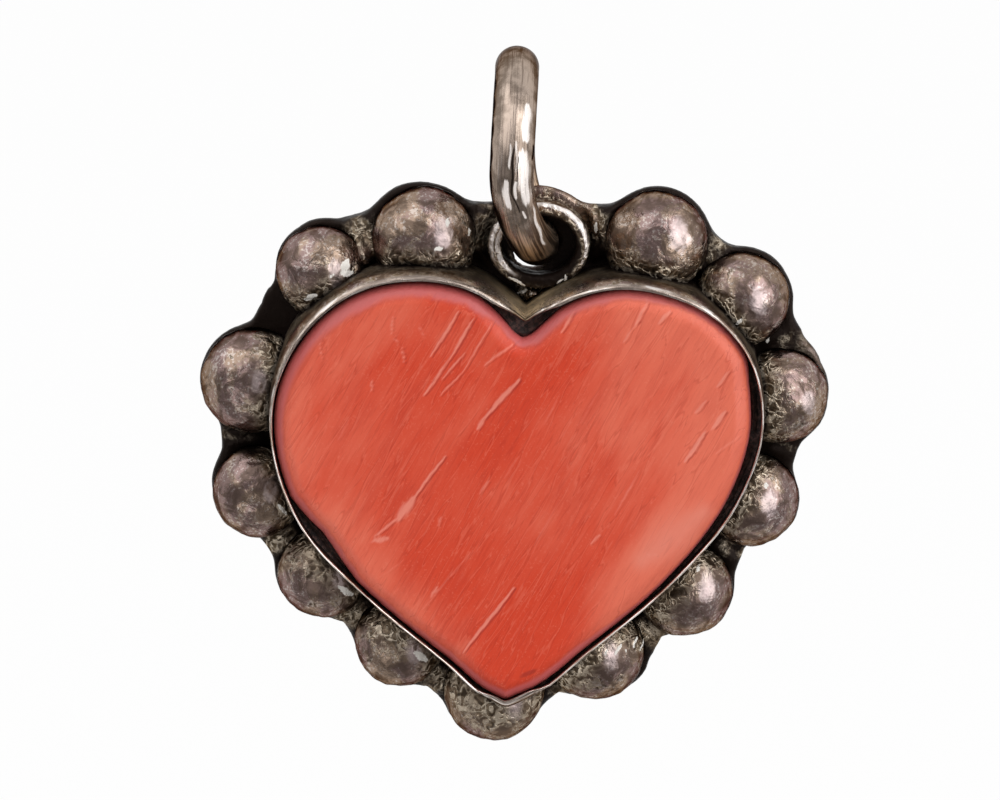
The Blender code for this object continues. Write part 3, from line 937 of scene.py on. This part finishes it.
def cement_finish():
    """Dark crumbly cement."""
    finish = Finish("setting_cement")
    grain = finish.noise(0.22 * MM, 4.0, 0.7)
    finish.set(colour=finish.mix(grain.step(0.42, 0.62), CEMENT_DARK, CEMENT_PALE), roughness=0.7)
    finish.relief(grain, 0.10 * MM)
    return finish.material


# Pieces

def drop_circle(node):
    """Middle and radius of a bead, seen from in front, in mm."""
    low, high = (np.array(corner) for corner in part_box(node))
    middle = HEART.inverted() @ Vector((low + high) / 2)
    return np.array((middle.x, middle.z)) / MM, (high - low)[0] / 2 / MM


def fillet(points):
    """How far each point lies in one of the filled corners, from 0 to 1."""
    x, y = points[:, 0], points[:, 1]
    away = [((x - across) ** 2 + (y - up) ** 2) / size**2 for across, up, size in FILLETS]
    return np.exp(-np.min(away, axis=0))


def make_raindrop(node, finish):
    """A dented bead, tarnished where it nears its neighbours, with a painted highlight and wear on the upper
    right.
    """
    drop = node_copy(node, node.replace("raindrop", "silver_raindrop"))
    remesh(drop, BEAD_CUBE, 8)
    weigh(drop, "foot", 1 - smooth(0.4, 1.4, gaps(drop, node, "backplate")))
    hammer(drop, 1.7 * MM, bpy.context.scene.pendant_finishes.dents)
    hammer(drop, 0.7 * MM, 0.07 * MM)
    hammer(drop, 0.42 * MM, 0.20 * MM, "foot")
    modify(drop, "DISPLACE", strength=BEAD_GROWTH * MM, mid_level=0.0)
    points = points_of(drop)
    middle, radius = drop_circle(node)
    number = int(node[-2:])
    above = gaps(drop, *(name for name in frame["nodes"] if name != "backplate"))
    store(drop, "low_down", 1 - smooth(0.75, 1.25, above))
    aside = gaps(drop, node, "backplate") * (1 - 0.4 * smooth(-1, -4, middle[1]))
    # The filled corners get less tarnish: partly painted light that lifts their shade
    store(drop, "gap", aside + fillet(points) * 1.2)
    # Painted highlight as well as wear: a brighter patch right of each bead's middle, where the key lamp's
    # reflection falls
    spot = np.array((0.40 + 0.08 * math.sin(number * 3), 0.10 + 0.12 * math.sin(number * 5)))
    side = (points[:, :2] - middle) / radius - spot
    polish_and_highlight = np.exp(-(side[:, 0] / 0.24) ** 2 - (side[:, 1] / 0.42) ** 2) * smooth(0.5, 1.2, points[:, 2])
    store(drop, "rub", polish_and_highlight)
    mark_glints(drop)
    settle(drop, "heart", finish, node)


def bend_lip(bezel, wall):
    """Leans the lip over the stone on the lobes and at the tip; elsewhere it stands upright and thin."""
    points = points_of(bezel)
    foot, far, _ = nearest_on_loop(wall, points[:, :2])
    inward = (points[:, :2] - foot) / np.maximum(far, 1e-6)[:, None]
    lean = look_up(LIP, points[:, 2])
    deep = np.maximum(far - lean, 0)
    notch = about(points, NOTCH, 1.0, 2.6)
    over = np.maximum(lip_over(turn_of(points)), about(points, TIP, 1.0, 2.2)) * (1 - notch)
    corner = about(points, CORNER, 0.5, 1.2)
    new = lean * lean_share(over) + deep * lip_wall(over) / WALL
    moves = far > 0.01
    points[moves, :2] = (foot + inward * new[:, None])[moves]
    place_points(bezel, points)
    store(bezel, "over", np.maximum(over, notch))
    store(bezel, "notch", corner)
    store_places(bezel, "strip", np.stack((foot[:, 0], foot[:, 1], new * 2 - points[:, 2]), 1))


def make_bezel(wall, finish):
    """The strip round the stone, meshed finer up its sides."""
    bezel = node_copy("bezel", "silver_bezel")
    edit(bezel)
    bpy.ops.mesh.tris_convert_to_quads(face_threshold=math.radians(20), shape_threshold=math.radians(80))
    bpy.ops.mesh.select_all(action="DESELECT")
    done()
    rise = points_of(bezel)[:, 2]
    low, high = rise < 0.1, np.abs(rise - WALL_TOP) < 0.05
    for line in bezel.data.edges:
        a, b = line.vertices
        line.select = bool((low[a] and high[b]) or (low[b] and high[a]))
    edit(bezel, "EDGE", None)
    bpy.ops.mesh.subdivide(number_cuts=WALL_CUTS)
    done()
    modify(bezel, "SUBSURF", levels=1, render_levels=1)
    bend_lip(bezel, wall)
    hammer(bezel, 1.6 * MM, 0.05 * MM)
    points = points_of(bezel)
    store(bezel, "gap", gaps(bezel, "bezel", "stone", "setting_bed"))
    # Where the pocket at the notch is painted pale olive, partly solder and partly painted light
    above = (points[:, 1] > 7) * smooth(0.3, 1.5, points[:, 2])
    store(bezel, "pocket", np.exp(-((points[:, 0] - 0.9) / 1.7) ** 2) * above)
    store(bezel, "rise", points[:, 2])
    settle(bezel, "heart", finish, "bezel")


def fibre_grid():
    """A fine grid that runs with the fibres, as a new piece, and its points as (across, up)."""
    bpy.ops.object.select_all(action="DESELECT")
    bpy.ops.mesh.primitive_grid_add(x_subdivisions=STONE_GRID[0], y_subdivisions=STONE_GRID[1], size=2)
    stone = bpy.context.object
    stone.name = "shell_stone"
    grid = coordinates(stone)[:, :2] * STONE_REACH
    c, s = math.cos(GRAIN - math.pi / 2), math.sin(GRAIN - math.pi / 2)
    return stone, np.stack((grid[:, 0] * c - grid[:, 1] * s, grid[:, 0] * s + grid[:, 1] * c), 1)


def mark_stone(stone, spots, inset, depth):
    """Stores what the finish reads, from each spot's distance from the edge and its depth in a scratch."""
    turn = turn_of(spots)
    store(stone, "inset", inset / look_up(MAUVE, turn))
    # Painted sheen along the rounded edge
    store(stone, "blush", look_up(EDGE_SHEEN, turn) * (1 - smooth(0.6, 3.2, inset)))
    store(stone, "scratch", depth)
    store(stone, "sheen", strokes(SHEEN, spots))
    x, y = spots[:, 0], spots[:, 1]
    # A dark mark near the tip, and painted shade along one side of each scratch, where its wall would be in shadow
    mark = np.exp(-(np.abs(x - 0.7) / 0.45) ** 4 - ((y + 9.6 - x * 0.4) / 0.13) ** 2)
    store(stone, "shade", np.maximum(strokes(SCRATCHES, spots + np.array((-0.10, 0.04))) - depth, mark))


def close_below(stone):
    """Runs the open edge straight down to the stone's foot and closes it."""
    edit(stone, action="DESELECT")
    bpy.ops.mesh.select_non_manifold(extend=False, use_wire=False, use_boundary=True,
                                     use_multi_face=False, use_non_contiguous=False, use_verts=False)
    bpy.ops.mesh.extrude_edges_move()
    done()
    points = points_of(stone)
    points[selected(stone), 2] = STONE_FOOT
    place_points(stone, points)
    bpy.ops.object.mode_set(mode="EDIT")
    bpy.ops.mesh.edge_face_add()
    bpy.ops.mesh.select_all(action="SELECT")
    bpy.ops.mesh.normals_make_consistent(inside=False)
    done()


def make_stone(wall, finish):
    """The shell heart, flat on top, with a rounded edge and scratches cut into it."""
    outline = loop_inside(wall, stone_depth)[1]
    stone, spots = fibre_grid()
    foot, far, inside = nearest_on_loop(outline, spots)
    corners = np.empty(len(stone.data.loops), int)
    stone.data.loops.foreach_get("vertex_index", corners)
    corners = corners.reshape(-1, 4)
    kept = np.zeros(len(spots), bool)
    kept[corners[inside[corners].any(1)].ravel()] = True
    spots[~inside] = foot[~inside]
    inset = np.where(inside, far, 0)
    across = np.clip(inset / STONE_EDGE, 0, 1)
    curve = np.sqrt(1 - (1 - across) ** 2)
    rise = STONE_WAIST + (STONE_TOP - STONE_WAIST) * (0.6 * curve + 0.4 * across)
    depth = strokes(SCRATCHES, spots) * smooth(0.1, 0.5, inset)
    place_points(stone, np.stack((spots[:, 0], spots[:, 1], rise - depth * SCRATCH_DEPTH), 1))
    mark_stone(stone, spots, inset, depth)
    choose(stone, ~kept)
    bpy.ops.mesh.delete(type="VERT")
    bpy.ops.mesh.select_all(action="SELECT")
    bpy.ops.mesh.remove_doubles(threshold=0.002 * MM)
    done()
    close_below(stone)
    settle(stone, "heart", finish, "stone", 60)


def shape_hole(points):
    """Brings the drilled hole's edge up to the wire, but not under it on the left, where daylight shows.

    It gives how far each point lies on the bright rubbed edge there, a painted highlight as well as wear, from 0
    to 1.
    """
    wire = HEART.inverted() @ (BAIL_MIDDLE + Vector((bail_sideways(-BAIL_RADIUS), 0, -BAIL_RADIUS)))
    middle = np.array((wire.x, wire.z)) / MM
    away = points[:, :2] - middle
    far = np.linalg.norm(away, axis=1)
    turn = np.degrees(np.arctan2(away[:, 1], away[:, 0]))
    edge = far < HOLE_REACH
    limit = np.full(len(points), HOLE_REACH)
    for start in range(-180, 180, 10):
        sector = edge & (turn >= start) & (turn < start + 10)
        if sector.any():
            limit[sector] = far[sector].min()
    share = (HOLE_REACH - far) / np.maximum(HOLE_REACH - limit, 0.01)
    wanted = HOLE_REACH - share * (HOLE_REACH - look_up(HOLE_EDGE, turn))
    new = np.where(edge, wanted, far)
    points[:, :2] = middle + away * (new / np.maximum(far, 1e-6))[:, None]
    low_left = smooth(-172, -150, turn) * (1 - smooth(-85, -65, turn))
    return np.exp(-((far - limit - 0.07) / 0.08) ** 2) * low_left * edge


def make_backplate(wall, finish):
    """The plate, with its filed edge, its drilled hole, and lumps of solder between the beads."""
    plate = node_copy("backplate", "silver_backplate")
    remesh(plate, PLATE_CUBE, 4)
    points = points_of(plate)
    _, far, inside = nearest_on_loop(wall, points[:, :2])
    outside = np.where(inside, 0, far)
    turn = turn_of(points[:, :2])
    out = points[:, :2] / np.linalg.norm(points[:, :2], axis=1)[:, None]
    filed = look_up(FILED, turn % 360) * smooth(0.4, 2.0, outside)
    rings = [drop_circle(node) for node in (*RAINDROPS, "eyelet")]
    spots = points[:, :2]
    drops = np.stack([np.linalg.norm(spots - middle, axis=1) - radius for middle, radius in rings])
    eyelet = drops[-1]
    first, second = np.sort(drops, axis=0)[:2]
    front = smooth(-0.45, -0.15, points[:, 2])
    web = (1 - smooth(0.6, 2.0, second)) * front
    solder = (1 - smooth(0.0, 1.1, first)) * smooth(0.1, 0.8, outside) * web
    solder *= smooth(0.0, 0.5, eyelet)
    filled = fillet(points) * smooth(0.0, 0.15, outside)
    edge = shape_hole(points)
    points[:, :2] += out * filed[:, None]
    points[:, 2] += solder * SOLDER_RISE + filled * front * FILLET_RISE
    place_points(plate, points)
    weigh(plate, "solder", solder)
    hammer(plate, 1.2 * MM, 0.06 * MM)
    hammer(plate, 0.6 * MM, 0.30 * MM, "solder")
    right, up = CLEAN_SCALLOP
    bare = 1 - smooth(0.5, 1.2, np.hypot(points[:, 0] - right, (points[:, 1] - up) * 0.7))
    beside_drop = smooth(0.30, 0.50, drops[RAINDROPS.index("raindrop_11")])
    # The hole's bright edge is a painted highlight as well as rubbing; the scallop is rubbed clean
    store(plate, "rub", np.maximum(bare * beside_drop * 0.5, edge) * front)
    tab = smooth(0.7, 1.2, points[:, 0]) * (1 - smooth(0.4, 0.9, eyelet)) * (points[:, 1] > 12.0)
    clean = web * (0.10 + 0.12 * smooth(1, -3, points[:, 1])) * smooth(0.5, 1.3, outside)
    # The filled corners get less tarnish: partly painted light that lifts their shade
    store(plate, "gap", np.where(eyelet < -0.3, 0, 0.03 + clean + filled * 1.2 + tab))
    store(plate, "behind", 1 - smooth(-0.60, -0.45, points[:, 2]))
    mark_glints(plate)
    settle(plate, "heart", finish, "backplate")


def make_eyelet(finish):
    """The oval of wire, rubbed and painted bright as highlights round its outer edge, and round its inner one on
    the left.
    """
    eyelet = node_copy("eyelet", "silver_eyelet")
    remesh(eyelet, EYELET_CUBE, 6)
    points = points_of(eyelet)
    low, high = points[:, :2].min(0), points[:, :2].max(0)
    round_it = (points[:, :2] - (low + high) / 2) / ((high - low) / 2)
    far = np.linalg.norm(round_it, axis=1)
    turn = np.degrees(np.arctan2(round_it[:, 1], round_it[:, 0])) % 360
    front = smooth(EYELET_FRONT - 0.35, EYELET_FRONT - 0.12, points[:, 2])
    outer = np.exp(-((far - 0.945) / 0.05) ** 2) * look_up(EYELET_OUTER, turn)
    inner = np.exp(-((far - 0.81) / 0.045) ** 2) * look_up(EYELET_INNER, turn)
    # The rubbed edges are painted highlights as well as wear
    rubbed_and_highlit = np.maximum(outer, inner) * front
    store(eyelet, "rub", rubbed_and_highlit * 1.4)
    hammer(eyelet, 0.8 * MM, 0.10 * MM)
    hammer(eyelet, 0.35 * MM, 0.08 * MM)
    # Painted shade: low values leave the eyelet near black at its bottom and left, where the bail and the setting
    # shade it
    clean = look_up(EYELET_CLEAN_AND_LIT, turn) * smooth(0.76, 0.88, far) * 1.6
    store(eyelet, "gap", 0.2 + clean + rubbed_and_highlit * 2)
    mark_glints(eyelet)
    settle(eyelet, "heart", finish, "eyelet")


def marks(table, turn, across):
    """How strongly each spot of the wire lies in one of the marks, from 0 to 1."""
    level = np.zeros(len(turn))
    for start, end, place, last, half, strength in table:
        share = (turn - start) / (end - start)
        within = smooth(-0.05, 0.15, share) * (1 - smooth(0.85, 1.05, share))
        side = across - place - (last - place) * share.clip(0, 1) - 0.03 * np.sin(turn * 0.4 + start)
        taper = 0.4 + 0.6 * np.sin(math.pi * share.clip(0.02, 0.98)) ** 0.5
        level = np.maximum(level, strength * within * np.exp(-np.abs(side / (half * taper)) ** 2.5))
    return level


def bail_sideways(height):
    """How far the ring's wire stands to the right at a height over its middle."""
    lean = -math.tan(BAIL_LEAN) * (BAIL_RADIUS - height)
    return lean + BAIL_SWAY * (min(height, 0.0) / BAIL_RADIUS) ** 2


def make_bail(finish):
    """The ring of round wire, leant and swayed to one side as the solid is."""
    bpy.ops.object.select_all(action="DESELECT")
    bpy.ops.mesh.primitive_torus_add(
        major_segments=256, minor_segments=128, major_radius=BAIL_RADIUS, minor_radius=BAIL_WIRE / 2,
        rotation=(0, math.pi / 2, 0))
    bail = bpy.context.object
    bail.name = "silver_bail"
    bpy.ops.object.transform_apply(rotation=True)
    low, turn, across, outer = [], [], [], []
    for vert in bail.data.vertices:
        radius = math.hypot(vert.co.y, vert.co.z)
        height = vert.co.z / radius * BAIL_RADIUS
        low.append(0.5 - 0.5 * height / BAIL_RADIUS)
        turn.append(math.degrees(math.atan2(vert.co.z, -vert.co.y)))
        across.append(vert.co.x / (BAIL_WIRE / 2))
        outer.append((radius - BAIL_RADIUS) / (BAIL_WIRE / 2))
        vert.co.x += bail_sideways(height)
    bail.location = BAIL_MIDDLE
    bpy.ops.object.transform_apply(location=True)
    store(bail, "low", low)
    outside = smooth(-0.4, 0.0, np.array(outer))
    # Painted highlight streaks, and dark lines that are grooves and painted shade, on the outer face
    store(bail, "shine", marks(HIGHLIGHT_STREAKS, np.array(turn), np.array(across)) * outside)
    store(bail, "groove", marks(GROOVES_AND_SHADE, np.array(turn), np.array(across)) * outside)
    hammer(bail, 2.5 * MM, 0.04 * MM)
    settle(bail, "bail", finish, "bail")


def cement_row(wall, share, rise):
    """One row of the cement's skin: directions round the heart, reaches and levels."""
    def depth_at(turn):
        outside = lip_wall(lip_over(turn)) + 0.02
        return outside + (stone_depth(turn) - outside) * share

    turn, loop = loop_inside(wall, depth_at)
    way = np.radians(turn)
    wave = 0.05 * np.sin(way * 23 + share * 9) + 0.04 * np.sin(way * 61 + share * 5)
    return turn, np.linalg.norm(loop, axis=1), rise + wave * (rise > CEMENT_MIDDLE)


def make_cement(wall, finish):
    """The packing under the stone, and the cement that fills the gap round it nearly to the rim."""
    bpy.ops.object.select_all(action="DESELECT")
    bpy.ops.mesh.primitive_circle_add(vertices=RAYS, radius=1, fill_type="NGON")
    cement = bpy.context.object
    cement.name = "setting_cement"
    points = coordinates(cement)
    chosen = np.ones(RAYS, bool)
    for number, (share, rise) in enumerate(CEMENT_ROWS):
        turn, reach, level = cement_row(wall, share, rise)
        if number:
            choose(cement, chosen)
            bpy.ops.mesh.extrude_region_move()
            done()
            chosen = selected(cement)
            points = points_of(cement)
        at = turn_of(points[chosen, :2])
        way = np.radians(at)
        radius = np.interp(at, turn, reach, period=360)
        points[chosen] = np.stack((np.cos(way) * radius, np.sin(way) * radius,
                                   np.interp(at, turn, level, period=360)), 1)
        place_points(cement, points)
    edit(cement)
    bpy.ops.mesh.normals_make_consistent(inside=False)
    done()
    settle(cement, "heart", finish, "setting_bed")


# Studio

# Paper and room
PAPER = (0.9, 0.9, 0.9, 1)
WHITE = (1, 1, 1, 1)
ROOM_LOW = (0.30, 0.29, 0.29, 1)
ROOM_TOP = (0.66, 0.65, 0.66, 1)
ROOM_BACK = (0.95, 0.95, 0.95, 1)

# Lamps: degrees to the right and up from the pendant, distance and size in metres
LAMPS = {
    "key": (50, 17, 0.35, (0.30, 0.52)),
    "fill": (-50, 45, 0.40, (0.45, 0.45)),
    "low": (-35, -32, 0.10, (0.05, 0.05)),
}

# The floor's side, and how far behind the pendant its front edge lies, in metres
FLOOR_SIZE = 6.0
FLOOR_NEAR = 0.01

# The point that the camera and the lamps look at, and the camera's place in degrees to the right and up
AIM = Vector((-0.85 * MM, 0, -15.69 * MM))
VIEW = (0.5, 9.5)


def direction(azimuth, elevation):
    """From the pendant towards a place: azimuth 0 is in front, positive to the right; in degrees."""
    a, e = math.radians(azimuth), math.radians(elevation)
    return Vector((math.sin(a) * math.cos(e), -math.cos(a) * math.cos(e), math.sin(e)))


def make_lamp(name, azimuth, elevation, distance, size, level):
    """A soft box; level is the light that it gives a white card facing it."""
    light = bpy.data.lights.new(name, "AREA")
    light.shape = "RECTANGLE"
    light.size, light.size_y = size
    light.energy = level * math.pi**2 * distance**2
    lamp = bpy.data.objects.new(name, light)
    bpy.context.collection.objects.link(lamp)
    towards = direction(azimuth, elevation)
    lamp.location = AIM + towards * distance
    lamp.rotation_euler = towards.to_track_quat("Z", "Y").to_euler()
    lamp.visible_camera = False


def make_floor(drop):
    """Pale paper from under the pendant backwards; what is seen of it is white but for the shadow."""
    bpy.ops.object.select_all(action="DESELECT")
    bpy.ops.mesh.primitive_plane_add(size=FLOOR_SIZE, location=(0, FLOOR_SIZE / 2 + FLOOR_NEAR, drop))
    floor = bpy.context.object
    floor.name = "floor"
    bpy.ops.object.transform_apply(location=True)
    material = bpy.data.materials.new("floor_paper")
    material.use_nodes = True
    sheet = Sheet(material.node_tree)
    paper = sheet.tree.nodes["Principled BSDF"]
    paper.inputs["Base Color"].default_value = PAPER
    paper.inputs["Roughness"].default_value = 0.7
    path = sheet.add("ShaderNodeLightPath").outputs
    seen = Number(sheet, path["Is Camera Ray"]).larger(Number(sheet, path["Is Glossy Ray"]))
    seen = seen.larger(Number(sheet, path["Is Transmission Ray"]))
    glow = sheet.add("ShaderNodeEmission", sockets={"Color": WHITE, "Strength": 1.0})
    blend = sheet.add("ShaderNodeMixShader",
                      sockets={0: seen * 0.95, 1: paper.outputs[0], 2: glow.outputs[0]})
    sheet.put(sheet.tree.nodes["Material Output"].inputs[0], blend.outputs[0])
    floor.data.materials.append(material)


def make_world():
    """White paper behind and below the pendant, and a dimmer room in front of it."""
    world = bpy.data.worlds.new("studio")
    bpy.context.scene.world = world
    world.use_nodes = True
    sheet = Sheet(world.node_tree)
    room = sheet.tree.nodes["Background"]
    sky = sheet.add("ShaderNodeTexCoord").outputs["Generated"]
    towards = sheet.add("ShaderNodeSeparateXYZ", sockets={0: sky})
    back = Number(sheet, towards.outputs[1]).step(-0.35, 0.75)
    top = Number(sheet, towards.outputs[2]).step(0.1, 0.9)
    shade = sheet.mix(back, sheet.mix(top, ROOM_LOW, ROOM_TOP), ROOM_BACK)
    sheet.put(room.inputs["Color"], shade)
    path = sheet.add("ShaderNodeLightPath").outputs
    paper = sheet.add("ShaderNodeBackground", sockets={"Color": WHITE, "Strength": 1.0})
    seen = Number(sheet, path["Is Camera Ray"]).larger(Number(sheet, path["Is Transmission Ray"]))
    seen = seen.larger(Number(sheet, path["Is Glossy Ray"]) * back)
    blend = sheet.add("ShaderNodeMixShader", sockets={0: seen, 1: room.outputs[0], 2: paper.outputs[0]})
    sheet.put(sheet.tree.nodes["World Output"].inputs[0], blend.outputs[0])


def make_camera(lens, width):
    """A long lens that sees a width at the pendant, and colours shown as they are made."""
    camera = bpy.data.cameras.new("camera")
    camera.lens = lens
    camera.sensor_width = 36
    camera.clip_start = 0.01
    holder = bpy.data.objects.new("camera", camera)
    bpy.context.collection.objects.link(holder)
    towards = direction(*VIEW)
    holder.location = AIM + towards * (width / 36 * lens)
    holder.rotation_euler = towards.to_track_quat("Z", "Y").to_euler()
    bpy.context.scene.camera = holder
    bpy.context.scene.view_settings.view_transform = "Standard"


# Operators

class PENDANT_OT_raindrops(bpy.types.Operator):
    """Makes the silver beads round the setting, dented and tarnished at their feet"""
    bl_idname = "pendant.raindrops"
    bl_label = "Raindrops"

    def execute(self, context):
        finish = silver_finish("bead_silver", 0.30, 1.35)
        for node in RAINDROPS:
            make_raindrop(node, finish)
        return {"FINISHED"}


class PENDANT_OT_setting(bpy.types.Operator):
    """Makes the strip setting and the sheet behind it"""
    bl_idname = "pendant.setting"
    bl_label = "Setting"

    def execute(self, context):
        wall = node_loop("bezel", WALL_TOP)
        make_bezel(wall, silver_finish("bezel_silver", 0.9, 2.2, rim=True, grain=0.02 * MM, bare=0.0,
                                       lumpy=0.3))
        make_backplate(wall, silver_finish("plate_silver", 0.25, 1.2, back=True, bare=0.0))
        make_cement(wall, cement_finish())
        return {"FINISHED"}


class PENDANT_OT_stone(bpy.types.Operator):
    """Makes the shell stone with its scratches"""
    bl_idname = "pendant.stone"
    bl_label = "Stone"

    def execute(self, context):
        make_stone(node_loop("bezel", WALL_TOP), shell_finish())
        return {"FINISHED"}


class PENDANT_OT_bail(bpy.types.Operator):
    """Makes the wire ring and the eyelet that it hangs from"""
    bl_idname = "pendant.bail"
    bl_label = "Bail and eyelet"

    def execute(self, context):
        make_eyelet(silver_finish("eyelet_silver", 0.90, 2.6, patch=0.5 * MM, bare=0.0, polish_and_highlight=1.0,
                                  patchy=0.0, rubbed_and_highlit="bright"))
        make_bail(bail_finish())
        return {"FINISHED"}


class PENDANT_OT_stage(bpy.types.Operator):
    """Makes the floor, the lamps, the world and the camera"""
    bl_idname = "pendant.stage"
    bl_label = "Stage"

    def execute(self, context):
        studio = context.scene.pendant_studio
        make_floor(studio.drop)
        make_world()
        for name, (azimuth, elevation, distance, size) in LAMPS.items():
            make_lamp(f"{name}_lamp", azimuth, elevation, distance, size, getattr(studio, name))
        make_camera(studio.lens, studio.across)
        return {"FINISHED"}


class PENDANT_PT_panel(bpy.types.Panel):
    """Lists the colours, the studio and the operators"""
    bl_idname = "PENDANT_PT_panel"
    bl_label = "Pendant"
    bl_space_type = "VIEW_3D"
    bl_region_type = "UI"
    bl_category = "Pendant"

    def draw(self, context):
        for group in (context.scene.pendant_finishes, context.scene.pendant_studio):
            for name in group.__annotations__:
                self.layout.prop(group, name)
        for operator in OPERATORS:
            self.layout.operator(operator.bl_idname)


OPERATORS = (
    PENDANT_OT_raindrops, PENDANT_OT_setting, PENDANT_OT_stone, PENDANT_OT_bail, PENDANT_OT_stage,
)
CLASSES = (PendantFinishes, PendantStudio, *OPERATORS, PENDANT_PT_panel)


def register():
    for cls in CLASSES:
        bpy.utils.register_class(cls)
    bpy.types.Scene.pendant_finishes = PointerProperty(type=PendantFinishes)
    bpy.types.Scene.pendant_studio = PointerProperty(type=PendantStudio)


def unregister():
    del bpy.types.Scene.pendant_finishes
    del bpy.types.Scene.pendant_studio
    for cls in reversed(CLASSES):
        bpy.utils.unregister_class(cls)


def main():
    register()
    bpy.ops.pendant.raindrops()
    bpy.ops.pendant.setting()
    bpy.ops.pendant.stone()
    bpy.ops.pendant.bail()
    bpy.ops.pendant.stage()


if __name__ == "__main__":
    main()
